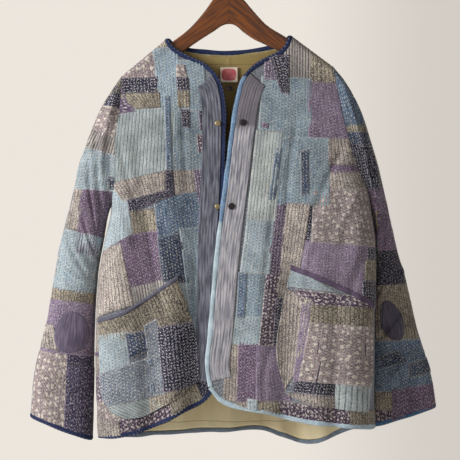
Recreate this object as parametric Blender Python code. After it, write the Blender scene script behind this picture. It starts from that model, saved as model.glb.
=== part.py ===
"""A patched and quilted boro jacket that hangs open on a wooden hanger.

The origin is where the hanger's hook bears on a rail. X runs to the wearer's left, Y to the
wearer's back and Z up, all in metres. Right and left are the wearer's own. The body is one
unrolled sheet: "across" runs along the cloth from the centre of the chest or back to the side
seam, and "height" runs down the cloth from the shoulder seam.
"""

import math

import bmesh
import bpy
import numpy as np

NAME = "patched_boro_jacket"

# Cloth
WALL = 0.0030                  # quilted layers of a panel
LINING = 0.0010
STRIP = 0.0014                 # front band, pocket and elbow patch
SEAM_GAP = 0.0003
ARMHOLE_GAP = 0.0006           # the walls meet askew there, and this leaves about 0.3 mm
ARMHOLE_LEAN = 0.9             # how far the walls at that seam lean out of the armhole
OVERLAY_GAP = 0.0014           # between a piece that lies on a curved panel and that panel
APPLIQUE = 0.0008              # how far the thick sewn-on patches stand out

# Bindings
BINDING_WIDTH = 0.0080
BINDING_OUT = 0.0007           # how far the folded strip stands proud of the panel's face
BINDING_GAP = 0.0005
BINDING_EDGE = 0.0022          # thickness along the strip's rounded edge

# Shoulders: where the neck and the shoulder point lie, and the bend over the hanger
NECK_RIGHT = (-0.110, -0.144)
SHOULDER_RIGHT = (-0.1926, -0.2124)
NECK_LEFT = (0.110, -0.139)
SHOULDER_LEFT = (0.1870, -0.1960)
SHOULDER_BEND = 0.0115
SHOULDER_BLEND = 0.12          # height over which the bend opens to the body's full depth
UNDERARM_RIGHT = -0.4446
UNDERARM_LEFT = -0.4480

# Body sections: height, half depth, and where the flat front ends on the right and on the left
SECTIONS = (
    (-0.870, 0.062, 0.1720, 0.2008),
    (-0.796, 0.060, 0.1776, 0.2020),
    (-0.706, 0.058, 0.1814, 0.2048),
    (-0.634, 0.0545, 0.1831, 0.2083),
    (-0.562, 0.0508, 0.1814, 0.2123),
    (-0.515, 0.0468, 0.1770, 0.2160),
    (-0.445, 0.0420, 0.1686, 0.2125),
    (-0.418, 0.0395, 0.1728, 0.2116),
    (-0.364, 0.0345, 0.1836, 0.2030),
    (-0.310, 0.0280, 0.1920, 0.1994),
    (-0.256, 0.0210, 0.1930, 0.1960),
    (-0.212, 0.0160, 0.1926, 0.1900),
    (-0.120, 0.0120, 0.1926, 0.1870),
)

# How far the armhole seam has turned round the body's side: share of its drop, degrees
ARMHOLE_TURN = ((0.0, 0.0), (0.2, 8.0), (0.42, 20.0), (0.65, 35.0), (0.88, 62.0), (1.0, 90.0))

# Garment edges: across, height
FRONT_EDGE_RIGHT = (
    NECK_RIGHT, (-0.103, -0.157), (-0.070, -0.178), (-0.038, -0.194), (-0.016, -0.220),
    (-0.008, -0.247), (-0.005, -0.275), (-0.005, -0.320), (-0.007, -0.400), (-0.012, -0.522),
    (-0.014, -0.616), (-0.016, -0.700), (-0.018, -0.742), (-0.026, -0.774),
)
FRONT_EDGE_LEFT = (
    NECK_LEFT, (0.097, -0.162), (0.059, -0.184), (0.034, -0.202), (0.020, -0.222),
    (0.013, -0.247), (0.002, -0.310), (-0.009, -0.400), (-0.018, -0.468), (-0.028, -0.560),
    (-0.037, -0.670), (-0.042, -0.736), (-0.036, -0.768),
)
FRONT_HEM_RIGHT = (
    (-0.026, -0.774), (-0.042, -0.792), (-0.077, -0.810), (-0.124, -0.834), (-0.172, -0.850),
)
FRONT_HEM_LEFT = (
    (-0.036, -0.768), (-0.018, -0.790), (0.005, -0.801), (0.062, -0.812), (0.106, -0.824),
    (0.174, -0.834),
)
SIDE_HEM_RIGHT = -0.864
SIDE_HEM_LEFT = -0.846
BACK_NECK = (
    NECK_RIGHT, (-0.100, -0.151), (-0.070, -0.160), (-0.036, -0.164), (0.0, -0.1655),
    (0.036, -0.162), (0.068, -0.157), (0.100, -0.147), NECK_LEFT,
)
BACK_HEM = (
    (-0.180, -0.872), (-0.100, -0.866), (-0.016, -0.863), (0.066, -0.861), (0.100, -0.873),
    (0.132, -0.885), (0.162, -0.884), (0.196, -0.869), (0.240, -0.854),
)

FOLD_FADE = 0.03               # folds fade out where the side starts to turn
FOLD_START = 1.4               # how soon a fold reaches its full height
# Folds: across and height at the top, the same at the bottom, half width, and height outwards
FRONT_FOLDS = (
    (-0.150, -0.260, -0.172, -0.420, 0.020, -0.004),
    (-0.105, -0.320, -0.090, -0.800, 0.030, 0.007),
    (-0.148, -0.470, -0.132, -0.850, 0.024, -0.006),
    (-0.180, -0.540, -0.172, -0.860, 0.020, 0.004),
    (-0.060, -0.460, -0.062, -0.800, 0.018, -0.004),
    (0.062, -0.330, 0.052, -0.810, 0.028, 0.006),
    (0.108, -0.420, 0.100, -0.830, 0.024, -0.006),
    (0.160, -0.300, 0.158, -0.840, 0.028, 0.007),
    (0.196, -0.520, 0.196, -0.840, 0.020, -0.004),
)
BACK_FOLDS = (
    (-0.150, -0.520, -0.152, -0.880, 0.026, 0.008),
    (-0.105, -0.460, -0.100, -0.880, 0.026, -0.008),
    (-0.050, -0.300, -0.046, -0.870, 0.028, 0.008),
    (0.004, -0.420, 0.010, -0.870, 0.026, -0.007),
    (0.055, -0.340, 0.062, -0.870, 0.026, 0.006),
    (0.115, -0.560, 0.128, -0.890, 0.026, 0.012),
    (0.172, -0.480, 0.178, -0.870, 0.022, -0.006),
)
# The right front passes behind the left one towards its edge
TUCK_DEPTH = 0.0115
TUCK_START, TUCK_END = -0.115, -0.042
TUCK_TOP, TUCK_BOTTOM = -0.240, -0.330

# Thick appliqué: across and height of one corner, then of the other
FRONT_PATCHES = (
    (-0.184, -0.332, -0.040, -0.270), (-0.205, -0.498, -0.130, -0.580),
    (-0.132, -0.560, -0.050, -0.430), (-0.150, -0.250, -0.128, -0.170),
    (0.155, -0.520, 0.245, -0.408), (0.130, -0.610, 0.240, -0.520),
    (0.145, -0.320, 0.200, -0.224), (0.065, -0.320, 0.130, -0.215),
)
BACK_PATCHES = (
    (-0.160, -0.360, -0.070, -0.240), (-0.050, -0.330, 0.050, -0.230),
    (0.070, -0.420, 0.170, -0.280), (-0.170, -0.560, -0.060, -0.420),
    (-0.020, -0.600, 0.110, -0.470), (0.060, -0.780, 0.180, -0.650),
    (-0.180, -0.800, -0.040, -0.660),
)

# Pockets: across and height along the mouth, then along the two sides and the bottom
POCKET_MOUTH_RIGHT = ((-0.238, -0.655), (-0.190, -0.642), (-0.146, -0.616), (-0.090, -0.578))
POCKET_SIDE_RIGHT = ((-0.238, -0.655), (-0.234, -0.735), (-0.228, -0.785), (-0.206, -0.812))
POCKET_INNER_RIGHT = ((-0.090, -0.578), (-0.072, -0.630), (-0.056, -0.690), (-0.052, -0.752))
POCKET_HEM_RIGHT = ((-0.206, -0.812), (-0.170, -0.820), (-0.110, -0.796), (-0.052, -0.752))
POCKET_MOUTH_LEFT = ((0.108, -0.560), (0.160, -0.580), (0.205, -0.600), (0.262, -0.628))
POCKET_SIDE_LEFT = ((0.262, -0.628), (0.262, -0.700), (0.258, -0.768), (0.248, -0.812))
POCKET_INNER_LEFT = ((0.108, -0.560), (0.092, -0.630), (0.082, -0.706), (0.100, -0.778))
POCKET_HEM_LEFT = ((0.100, -0.778), (0.140, -0.794), (0.190, -0.803), (0.248, -0.812))
POCKET_COLUMNS, POCKET_ROWS = 9, 8

# Sleeves, one row a ring: outer x and z, inner x and z, the ring's middle in y, its half depth
SLEEVE_RIGHT = (
    (-0.2075, -0.2340, -0.2150, -0.4530, 0.001, 0.027),
    (-0.2290, -0.2680, -0.2178, -0.4620, 0.002, 0.029),
    (-0.2455, -0.3060, -0.2205, -0.4740, 0.004, 0.031),
    (-0.2590, -0.3420, -0.2235, -0.4900, 0.006, 0.032),
    (-0.2720, -0.3880, -0.2275, -0.5100, 0.008, 0.033),
    (-0.2840, -0.4360, -0.2318, -0.5340, 0.010, 0.034),
    (-0.2970, -0.4860, -0.2364, -0.5630, 0.012, 0.034),
    (-0.3090, -0.5360, -0.2400, -0.5990, 0.014, 0.034),
    (-0.3200, -0.5980, -0.2425, -0.6360, 0.016, 0.034),
    (-0.3290, -0.6530, -0.2440, -0.6740, 0.017, 0.034),
    (-0.3400, -0.6980, -0.2448, -0.7130, 0.018, 0.033),
    (-0.3500, -0.7360, -0.2448, -0.7510, 0.018, 0.032),
    (-0.3560, -0.7800, -0.2460, -0.8080, 0.018, 0.030),
    (-0.3600, -0.8280, -0.2478, -0.8700, 0.018, 0.028),
)
SLEEVE_LEFT = (
    (0.2060, -0.2180, 0.2578, -0.4560, 0.002, 0.027),
    (0.2220, -0.2440, 0.2600, -0.4640, 0.004, 0.028),
    (0.2360, -0.2720, 0.2622, -0.4750, 0.006, 0.029),
    (0.2470, -0.3020, 0.2645, -0.4890, 0.009, 0.030),
    (0.2590, -0.3400, 0.2665, -0.5080, 0.013, 0.031),
    (0.2700, -0.3760, 0.2672, -0.5310, 0.018, 0.031),
    (0.2826, -0.4260, 0.2660, -0.5660, 0.025, 0.031),
    (0.2950, -0.4780, 0.2640, -0.6080, 0.032, 0.031),
    (0.3080, -0.5300, 0.2625, -0.6490, 0.038, 0.031),
    (0.3240, -0.5820, 0.2615, -0.6880, 0.043, 0.031),
    (0.3350, -0.6300, 0.2615, -0.7240, 0.046, 0.031),
    (0.3456, -0.6740, 0.2620, -0.7560, 0.048, 0.030),
    (0.3600, -0.7180, 0.2630, -0.7900, 0.049, 0.029),
    (0.3720, -0.7600, 0.2645, -0.8200, 0.050, 0.028),
    (0.3800, -0.8140, 0.2665, -0.8500, 0.050, 0.027),
)
SLEEVE_SQUARENESS = 2.3        # 2 is an ellipse; more is flatter
# Sleeve creases: share of the length, its slant across the sleeve, half width, height outwards
SLEEVE_CREASES = (
    (0.22, 0.10, 0.035, -0.0040), (0.34, -0.08, 0.040, 0.0030), (0.47, 0.09, 0.035, -0.0040),
    (0.60, -0.10, 0.035, 0.0030), (0.70, 0.06, 0.030, -0.0035), (0.84, -0.06, 0.030, 0.0025),
)
# Elbow patches: ring where the middle lies, share from outer to inner edge, half sizes
ELBOW_RIGHT = (9.2, 0.58, 0.031, 0.039)
ELBOW_LEFT = (9.4, 0.52, 0.029, 0.041)
ELBOW_RINGS, ELBOW_SIDES = 3, 16
ELBOW_CENTRE = 0.12            # share of the patch inside its first ring
ELBOW_GAP = 0.0012

# Grid: steps down the armhole and the side seam, and across each panel
CURVE_SAMPLES = 400
ARMHOLE_STEPS = 12
ARMHOLE_STEP_GROWTH = 1.35
SIDE_STEPS = 18
FRONT_COLUMNS = 14
BACK_SHOULDER_COLUMNS, BACK_NECK_COLUMNS = 4, 14
SEAM_STEPS = (0.0, 0.0055, 0.0110, 0.0170)     # first steps below the shoulder seam
BAND_COLUMNS = 2
YOKE_ROWS, YOKE_MARGIN = (3, 8), 5
HEM_FACING_ROWS, HEM_FACING_MARGIN = 5, 3

# Snaps: across, height
CAP_RADIUS, CAP_HEIGHT = 0.0060, 0.0022
STUD_RADIUS, STUD_HEIGHT = 0.0050, 0.0020
SNAP_TAPER, SNAP_SIDES = 0.72, 16
SNAP_GAP_BAND, SNAP_GAP_INSIDE = 0.0010, 0.0007
SNAP_PLACES_LEFT = {"upper": (0.025, -0.299), "lower": (0.0045, -0.448)}
SNAP_PLACES_RIGHT = {"upper": (-0.020, -0.299), "lower": (-0.020, -0.448)}

# Neck label and loop: width, height, the height of the middle, and thickness
LABEL_GAP = 0.0005
LABEL = (0.032, 0.027, -0.2090, 0.0008)
LOOP = (0.013, 0.007, -0.2320, 0.0012)

# Hanger: x, top z and bottom z of the wooden bow, then its thickness
HANGER_BOW = (
    (-0.190, -0.2170, -0.2300), (-0.180, -0.2072, -0.2360), (-0.142, -0.1755, -0.2050),
    (-0.097, -0.1475, -0.1790), (-0.070, -0.1260, -0.1600), (-0.043, -0.0950, -0.1420),
    (-0.027, -0.0730, -0.1320), (-0.012, -0.0600, -0.1220), (0.0, -0.0576, -0.1190),
    (0.012, -0.0600, -0.1220), (0.025, -0.0730, -0.1330), (0.042, -0.0930, -0.1450),
    (0.065, -0.1180, -0.1560), (0.100, -0.1410, -0.1720), (0.140, -0.1660, -0.1970),
    (0.172, -0.1898, -0.2190), (0.184, -0.2000, -0.2130),
)
HANGER_THICKNESS = 0.0105
HANGER_SIDES, HANGER_ROUNDING = 12, 0.5
HOOK_RADIUS = 0.0180           # inside the bend
HOOK_WIRE = 0.0020
HOOK_STEM, HOOK_OFFSET, HOOK_NECK = 0.006, 0.0035, 0.001
HOOK_START, HOOK_TURN = -50.0, 250.0           # degrees
HOOK_STEPS, HOOK_POINTS = 16, 34

COLOURS = {
    "denim": (0.36, 0.44, 0.56), "plum": (0.27, 0.20, 0.31), "lilac_grey": (0.33, 0.32, 0.40),
    "navy": (0.07, 0.09, 0.17), "pale_blue": (0.45, 0.55, 0.62), "khaki": (0.50, 0.46, 0.32),
    "grey_binding": (0.30, 0.31, 0.38), "charcoal": (0.16, 0.16, 0.21), "label": (0.55, 0.22, 0.24),
    "brass": (0.55, 0.43, 0.24), "dark_metal": (0.10, 0.09, 0.09), "wood": (0.33, 0.13, 0.06),
    "steel": (0.60, 0.60, 0.58), "stone_blue": (0.30, 0.36, 0.44),
}


def clear_scene():
    for thing in list(bpy.data.objects):
        bpy.data.objects.remove(thing, do_unlink=True)


def material(name, roughness=0.9, metallic=0.0):
    made = bpy.data.materials.new(name)
    made.use_nodes = True
    shader = made.node_tree.nodes["Principled BSDF"]
    shader.inputs["Base Color"].default_value = (*COLOURS[name], 1.0)
    shader.inputs["Roughness"].default_value = roughness
    shader.inputs["Metallic"].default_value = metallic
    return made


def finish(mesh_data, name, finish_material, smooth=True):
    """Makes the object of a bmesh, in the garment's collection."""
    bmesh.ops.recalc_face_normals(mesh_data, faces=mesh_data.faces)
    mesh = bpy.data.meshes.new(name)
    mesh_data.to_mesh(mesh)
    mesh_data.free()
    if smooth:
        mesh.shade_smooth()
        mesh.set_sharp_from_angle(angle=math.radians(50))
    mesh.materials.append(finish_material)
    made = bpy.data.objects.new(name, mesh)
    bpy.data.collections[NAME].objects.link(made)
    return made


# Curves and tables

def smooth_table(x, rows, column):
    """Reads a column of a table against its first one, as a smooth curve through the rows."""
    table = np.asarray(rows, float)
    keys, values = table[:, 0], table[:, column]
    slopes = np.gradient(values, keys)
    x = np.clip(x, keys[0], keys[-1])
    i = np.clip(np.searchsorted(keys, x, side="right") - 1, 0, len(keys) - 2)
    width = keys[i + 1] - keys[i]
    t = (x - keys[i]) / width
    start = (1 + 2 * t) * (1 - t) ** 2 * values[i] + t * (1 - t) ** 2 * width * slopes[i]
    end = t * t * (3 - 2 * t) * values[i + 1] + t * t * (t - 1) * width * slopes[i + 1]
    return start + end


def lengths(line):
    """Length along a line of points, at each point."""
    steps = np.linalg.norm(np.diff(line, axis=0), axis=1)
    return np.concatenate([[0.0], np.cumsum(steps)])


def curve_through(points, places):
    """Points of a smooth curve through a few points, at the given shares of its length."""
    points = np.asarray(points, float)
    keys = lengths(points)
    fine_keys = np.linspace(0, keys[-1], CURVE_SAMPLES)
    fine = np.stack(
        [smooth_table(fine_keys, np.column_stack([keys, points[:, a]]), 1)
         for a in range(points.shape[1])], axis=1)
    along = lengths(fine)
    wanted = np.asarray(places) * along[-1]
    return np.stack([np.interp(wanted, along, fine[:, a]) for a in range(points.shape[1])], axis=1)


def smooth_step(value):
    value = np.clip(value, 0.0, 1.0)
    return value * value * (3 - 2 * value)


def unit(vectors):
    return vectors / np.maximum(np.linalg.norm(vectors, axis=-1, keepdims=True), 1e-9)


def inset(line, distance, toward, start=None, end=None):
    """Moves a line of the flat pattern sideways, toward a point, with its ends along seams."""
    tangent = unit(np.gradient(line, axis=0))
    normal = np.stack([-tangent[:, 1], tangent[:, 0]], axis=1)
    middle = len(line) // 2
    if np.dot(normal[middle], np.asarray(toward) - line[middle]) < 0:
        normal = -normal
    if start is not None:
        normal[0] = unit(np.asarray(start))
    if end is not None:
        normal[-1] = unit(np.asarray(end))
    return line + distance * normal


# Body surface

def shoulder_line(across):
    slope_right = (NECK_RIGHT[1] - SHOULDER_RIGHT[1]) / (NECK_RIGHT[0] - SHOULDER_RIGHT[0])
    slope_left = (NECK_LEFT[1] - SHOULDER_LEFT[1]) / (NECK_LEFT[0] - SHOULDER_LEFT[0])
    right = NECK_RIGHT[1] + slope_right * (across - NECK_RIGHT[0])
    left = NECK_LEFT[1] + slope_left * (across - NECK_LEFT[0])
    return np.where(across < 0, right, left)


def flat_end(across, height):
    right = smooth_table(height, SECTIONS, 2)
    left = smooth_table(height, SECTIONS, 3)
    return np.where(across < 0, right, left)


def fold_height(folds, across, height):
    """Sum of the soft ridges and troughs at a place, each a bell across its own line."""
    total = np.zeros(np.broadcast(across, height).shape)
    for top_x, top_z, end_x, end_z, half_width, rise in folds:
        share = (height - top_z) / (end_z - top_z)
        middle = top_x + (end_x - top_x) * share
        bell = np.exp(-(((across - middle) / half_width) ** 2))
        total += rise * bell * smooth_step(share * FOLD_START)
    return total


def tuck(across, height):
    sideways = smooth_step((across - TUCK_START) / (TUCK_END - TUCK_START))
    down = smooth_step((height - TUCK_TOP) / (TUCK_BOTTOM - TUCK_TOP))
    return TUCK_DEPTH * sideways * down


def body_point(across, height, front=True, tucked=False):
    """Point of the body's outer face."""
    across, height = np.broadcast_arrays(np.asarray(across, float), np.asarray(height, float))
    limit = flat_end(across, height)
    flat = np.minimum(np.abs(across), limit)
    beyond = np.abs(across) - flat
    side = np.where(across < 0, -1.0, 1.0)
    line = shoulder_line(side * flat)
    drop = line - height
    bend = np.clip((SHOULDER_BEND - drop) / SHOULDER_BEND, 0.0, 3.0)
    z = np.where(bend > 0, line - SHOULDER_BEND + SHOULDER_BEND * np.sin(bend), height)
    opening = smooth_step((drop - SHOULDER_BEND) / SHOULDER_BLEND)
    depth = SHOULDER_BEND + (smooth_table(height, SECTIONS, 1) - SHOULDER_BEND) * opening
    fade = smooth_step((limit - flat) / FOLD_FADE)
    folds = FRONT_FOLDS if front else BACK_FOLDS
    depth = depth + fade * opening * fold_height(folds, side * flat, height)
    if tucked:
        depth = depth - tuck(side * flat, height)
    depth = np.where(bend > 0, SHOULDER_BEND * np.cos(bend), depth)
    turn = beyond / np.where(np.abs(depth) < 1e-4, 1e-4, depth)
    x = side * (flat + depth * np.sin(turn))
    y = depth * np.cos(turn) * (-1.0 if front else 1.0)
    return np.stack([x, y, z], axis=-1)


def body_normal(across, height, front=True, tucked=False):
    """Outward direction of the body's face."""
    step = 0.0004
    along = body_point(across + step, height, front, tucked) - body_point(
        across - step, height, front, tucked)
    down = body_point(across, height - step, front, tucked) - body_point(
        across, height + step, front, tucked)
    normal = unit(np.cross(down, along))
    return normal if front else -normal


def side_seam(side, height):
    """How far across the side seam lies at a height."""
    depth = smooth_table(height, SECTIONS, 1)
    return side * (flat_end(side * np.ones_like(height), height) + depth * math.pi / 2)


def beside_seam(side, point):
    """The point moved to the edge of the cloth at the side seam, at its own height."""
    across = float(side_seam(side, np.array(point[1])))
    return np.array([across - side * SEAM_GAP / 2, point[1]])


def armhole(side):
    """Stations of the armhole seam in the flat, from the shoulder to the underarm."""
    point = SHOULDER_RIGHT if side < 0 else SHOULDER_LEFT
    under = UNDERARM_RIGHT if side < 0 else UNDERARM_LEFT
    top = point[1] + SHOULDER_BEND * (math.pi / 2 - 1)
    first = np.array(SEAM_STEPS) / (top - under)
    rest = np.linspace(0, 1, ARMHOLE_STEPS - len(SEAM_STEPS) + 2)[1:]
    share = np.concatenate([first, first[-1] + (1 - first[-1]) * (1 - (1 - rest) ** ARMHOLE_STEP_GROWTH)])
    height = top + (under - top) * share
    turn = np.radians(smooth_table(share, ARMHOLE_TURN, 1))
    across = side * flat_end(side * np.ones_like(height), height)
    start = abs(point[0]) - abs(across[0])
    across = across + side * start * (1 - share) ** 3
    depth = np.abs(body_point(side * flat_end(across, height), height)[:, 1])
    beyond = depth * turn
    return np.column_stack([across + side * beyond, height]), share


def filled(top, bottom, inner, outer):
    """A Coons patch: the grid of points between four edge lines, rows by columns."""
    u = np.linspace(0, 1, len(top))[None, :, None]
    v = (lengths(inner) / lengths(inner)[-1] + lengths(outer) / lengths(outer)[-1]) / 2
    v = v[:, None, None]
    across = (1 - u) * inner[:, None, :] + u * outer[:, None, :]
    down = (1 - v) * top[None, :, :] + v * bottom[None, :, :]
    corners = ((1 - u) * (1 - v) * top[0] + u * (1 - v) * top[-1]
               + (1 - u) * v * bottom[0] + u * v * bottom[-1])
    return across + down - corners


# Solids

def wall_between(outside, inside, ring=False):
    """Closes two like grids of points into one wall, open or as a ring of columns."""
    rows, columns = outside.shape[:2]
    made = bmesh.new()
    layers = [[[made.verts.new(p) for p in row] for row in grid] for grid in (outside, inside)]
    spans = columns if ring else columns - 1
    for layer in layers:
        for i in range(rows - 1):
            for j in range(spans):
                k = (j + 1) % columns
                made.faces.new((layer[i][j], layer[i][k], layer[i + 1][k], layer[i + 1][j]))
    out, within = layers
    for i in (0, rows - 1):
        for j in range(spans):
            k = (j + 1) % columns
            made.faces.new((out[i][j], out[i][k], within[i][k], within[i][j]))
    if not ring:
        for j in (0, columns - 1):
            for i in range(rows - 1):
                made.faces.new((out[i][j], out[i + 1][j], within[i + 1][j], within[i][j]))
    return made


def bar_along(stations, ring=False):
    """Closes rows of section points into one bar, with flat ends unless it is a ring."""
    made = bmesh.new()
    rows = [[made.verts.new(p) for p in station] for station in stations]
    count = len(rows[0])
    spans = len(rows) if ring else len(rows) - 1
    for i in range(spans):
        a, b = rows[i], rows[(i + 1) % len(rows)]
        for j in range(count):
            k = (j + 1) % count
            made.faces.new((a[j], a[k], b[k], b[j]))
    if not ring:
        made.faces.new(rows[0])
        made.faces.new(rows[-1])
    return made


def raised(patches, across, height):
    """How far the outer points stand out for the thick patches."""
    total = np.zeros(across.shape)
    for x0, z0, x1, z1 in patches:
        within = ((across > min(x0, x1)) & (across < max(x0, x1))
                  & (height > min(z0, z1)) & (height < max(z0, z1)))
        total = np.where(within, APPLIQUE, total)
    return total


def sleeve_rings(side):
    """Outer points of a sleeve: the armhole seam, then one ring for each row of its table."""
    table = SLEEVE_RIGHT if side < 0 else SLEEVE_LEFT
    seam, share = armhole(side)
    front = body_point(seam[:, 0], seam[:, 1])
    back = body_point(seam[:, 0], seam[:, 1], front=False)
    rings = [np.concatenate([front, back[-2:0:-1]])]
    place = np.concatenate([share, share[-2:0:-1]])
    facing = np.concatenate([-np.ones(len(share)), np.ones(len(share) - 2)])
    spread = (1 - np.abs(2 * place - 1) ** SLEEVE_SQUARENESS) ** (1 / SLEEVE_SQUARENESS)
    for number, (outer_x, outer_z, inner_x, inner_z, middle, half) in enumerate(table):
        along = (number + 1) / len(table)
        rise = 0.0
        for at, slant, width, height in SLEEVE_CREASES:
            rise = rise + height * np.exp(-(((along - at - slant * (place - 0.5)) / width) ** 2))
        x = outer_x + (inner_x - outer_x) * place
        y = middle + facing * spread * (half + rise)
        z = outer_z + (inner_z - outer_z) * place
        rings.append(np.column_stack([x, y, z]))
    return np.array(rings)


def ring_normals(rings, side):
    """Outward directions of a grid that closes on itself column by column."""
    around = np.roll(rings, -1, axis=1) - np.roll(rings, 1, axis=1)
    down = np.gradient(rings, axis=0)
    normals = unit(np.cross(around, down))
    return -normals if side < 0 else normals


def armhole_directions(side):
    """Round the armhole ring: which way both walls stand at the seam, and which way parts them."""
    rings = sleeve_rings(side)
    seam, _ = armhole(side)
    body = np.concatenate([
        body_normal(seam[:, 0], seam[:, 1]),
        body_normal(seam[:, 0], seam[:, 1], front=False)[-2:0:-1]])
    sleeve = ring_normals(rings, side)[0]
    loop = rings[0]
    around = np.roll(loop, -1, axis=0) - np.roll(loop, 1, axis=0)
    outward = unit(np.cross(around, np.array([1.0, 0.0, 0.0])))
    if np.dot(outward[0], [0, 0, 1]) < 0:
        outward = -outward
    standing = unit(body + sleeve + ARMHOLE_LEAN * outward)
    apart = unit(np.cross(around, standing))
    toward_sleeve = np.sum(apart * (rings[1] - rings[0]), axis=1, keepdims=True)
    return standing, apart * np.sign(toward_sleeve)


def front_outline(side):
    """Edge lines of a front in the flat: garment edge, hem, armhole with side seam."""
    edge = FRONT_EDGE_RIGHT if side < 0 else FRONT_EDGE_LEFT
    hem = FRONT_HEM_RIGHT if side < 0 else FRONT_HEM_LEFT
    side_hem = SIDE_HEM_RIGHT if side < 0 else SIDE_HEM_LEFT
    neck_top = (edge[0][0], edge[0][1] + SHOULDER_BEND * (math.pi / 2 - 1))
    rows = ARMHOLE_STEPS + SIDE_STEPS
    fine = curve_through((neck_top,) + edge[1:], np.linspace(0, 1, CURVE_SAMPLES))
    length = lengths(fine)[-1]
    first = np.array(SEAM_STEPS) / length
    rest = np.linspace(first[-1], 1, rows + 1 - len(first) + 1)[1:]
    edge_line = curve_through((neck_top,) + edge[1:], np.concatenate([first, rest]))
    seam_end = (float(side_seam(side, np.array(side_hem))), side_hem)
    hem_line = curve_through(hem + (seam_end,), np.linspace(0, 1, FRONT_COLUMNS + 1))
    seam, _ = armhole(side)
    heights = np.linspace(seam[-1, 1], side_hem, SIDE_STEPS + 1)[1:]
    outer_line = np.concatenate(
        [seam, np.column_stack([side_seam(side, heights), heights])])
    return edge_line, hem_line, outer_line


def front_directions(side):
    """In the flat: the middle of a front, and the way of the mitre at its lower corner."""
    return (side * 0.12, -0.5), unit(np.array([side * 1.0, 0.9]))


def front_grid(side):
    """Flat grid of a front, clear of its bindings and seams, with the lines of its bindings."""
    edge_line, hem_line, outer_line = front_outline(side)
    shoulder = unit(outer_line[0] - edge_line[0])
    toward, corner = front_directions(side)
    trim = BINDING_WIDTH + BINDING_GAP
    inner = inset(edge_line, trim, toward, start=shoulder, end=corner)
    bottom = inset(hem_line, trim, toward, start=corner, end=(0.0, 1.0))
    outer = inset(outer_line, SEAM_GAP / 2, toward, start=-shoulder, end=(-side, 0.0))
    outer[:ARMHOLE_STEPS + 1] = inset(
        outer_line[:ARMHOLE_STEPS + 1], SEAM_GAP / 2, toward, start=-shoulder, end=(-side, -1.0))
    bottom[-1] = beside_seam(side, bottom[-1])
    outer[-1] = bottom[-1]
    bottom[0] = inner[-1]
    shares = np.linspace(0, 1, FRONT_COLUMNS + 1)[:, None]
    top = inner[0] + (outer[0] - inner[0]) * shares
    top[:, 1] -= SEAM_GAP / 2
    inner[0], outer[0] = top[0], top[-1]
    return filled(top, bottom, inner, outer)


def panel_walls(flat, front, tucked, patches, directions):
    """Outer and inner points of a body panel, from its flat grid."""
    across, height = flat[..., 0], flat[..., 1]
    face = body_point(across, height, front, tucked)
    normal = body_normal(across, height, front, tucked)
    for rows, columns, values, shift in directions:
        normal[rows, columns] = values
        face[rows, columns] += shift
    relief = raised(patches, across, height)
    relief[[0, -1], :] = 0.0
    relief[:, [0, -1]] = 0.0
    return face + relief[..., None] * normal, face - WALL * normal, normal


def front_panel(side):
    flat = front_grid(side)
    tucked = side < 0
    standing, apart = armhole_directions(side)
    seam = slice(0, ARMHOLE_STEPS + 1)
    directions = [
        (seam, -1, standing[seam], -ARMHOLE_GAP * apart[seam]),
        (slice(ARMHOLE_STEPS + 2, None), -1, [[side * 1.0, 0.0, 0.0]], 0.0),
    ]
    return panel_walls(flat, True, tucked, FRONT_PATCHES, directions)


def back_outline():
    """Edge lines of the back in the flat, from the wearer's right to the left."""
    neck = list(BACK_NECK)
    lift = SHOULDER_BEND * (math.pi / 2 - 1)
    neck[0] = (neck[0][0], neck[0][1] + lift)
    neck[-1] = (neck[-1][0], neck[-1][1] + lift)
    length = lengths(curve_through(neck, np.linspace(0, 1, CURVE_SAMPLES)))[-1]
    first = np.array(SEAM_STEPS) / length
    middle = np.linspace(first[-1], 1 - first[-1], BACK_NECK_COLUMNS + 3 - 2 * len(first))
    neck_line = curve_through(neck, np.concatenate([first, middle[1:-1], 1 - first[::-1]]))
    seams = []
    for side, hem in ((-1, SIDE_HEM_RIGHT), (1, SIDE_HEM_LEFT)):
        seam, _ = armhole(side)
        heights = np.linspace(seam[-1, 1], hem, SIDE_STEPS + 1)[1:]
        seams.append(np.concatenate([seam, np.column_stack([side_seam(side, heights), heights])]))
    ends = [tuple(seam[-1]) for seam in seams]
    columns = 2 * BACK_SHOULDER_COLUMNS + BACK_NECK_COLUMNS
    hem_line = curve_through((ends[0],) + BACK_HEM + (ends[1],), np.linspace(0, 1, columns + 1))
    return neck_line, hem_line, seams[0], seams[1]


def back_grid():
    neck_line, hem_line, right, left = back_outline()
    toward = (0.0, -0.5)
    trim = BINDING_WIDTH + BINDING_GAP
    along_right = unit(right[0] - neck_line[0])
    along_left = unit(left[0] - neck_line[-1])
    neck = inset(neck_line, trim, toward, start=along_right, end=along_left)
    bottom = inset(hem_line, trim, toward, start=(0.0, 1.0), end=(0.0, 1.0))
    edges = []
    for side, seam, along in ((-1, right, along_right), (1, left, along_left)):
        edge = inset(seam, SEAM_GAP / 2, toward, start=-along, end=(-side, 0.0))
        edge[:ARMHOLE_STEPS + 1] = inset(
            seam[:ARMHOLE_STEPS + 1], SEAM_GAP / 2, toward, start=-along, end=(-side, -1.0))
        edges.append(edge)
    shares = np.linspace(0, 1, BACK_SHOULDER_COLUMNS + 1)[:, None]
    top = np.concatenate([
        edges[0][0] + (neck[0] - edges[0][0]) * shares, neck[1:],
        (neck[-1] + (edges[1][0] - neck[-1]) * shares)[1:]])
    top[:BACK_SHOULDER_COLUMNS + 1, 1] -= SEAM_GAP / 2
    top[-BACK_SHOULDER_COLUMNS - 1:, 1] -= SEAM_GAP / 2
    for side, edge, place in ((-1, edges[0], 0), (1, edges[1], -1)):
        edge[0] = top[place]
        bottom[place] = beside_seam(side, bottom[place])
        edge[-1] = bottom[place]
    return filled(top, bottom, edges[0], edges[1])


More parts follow.
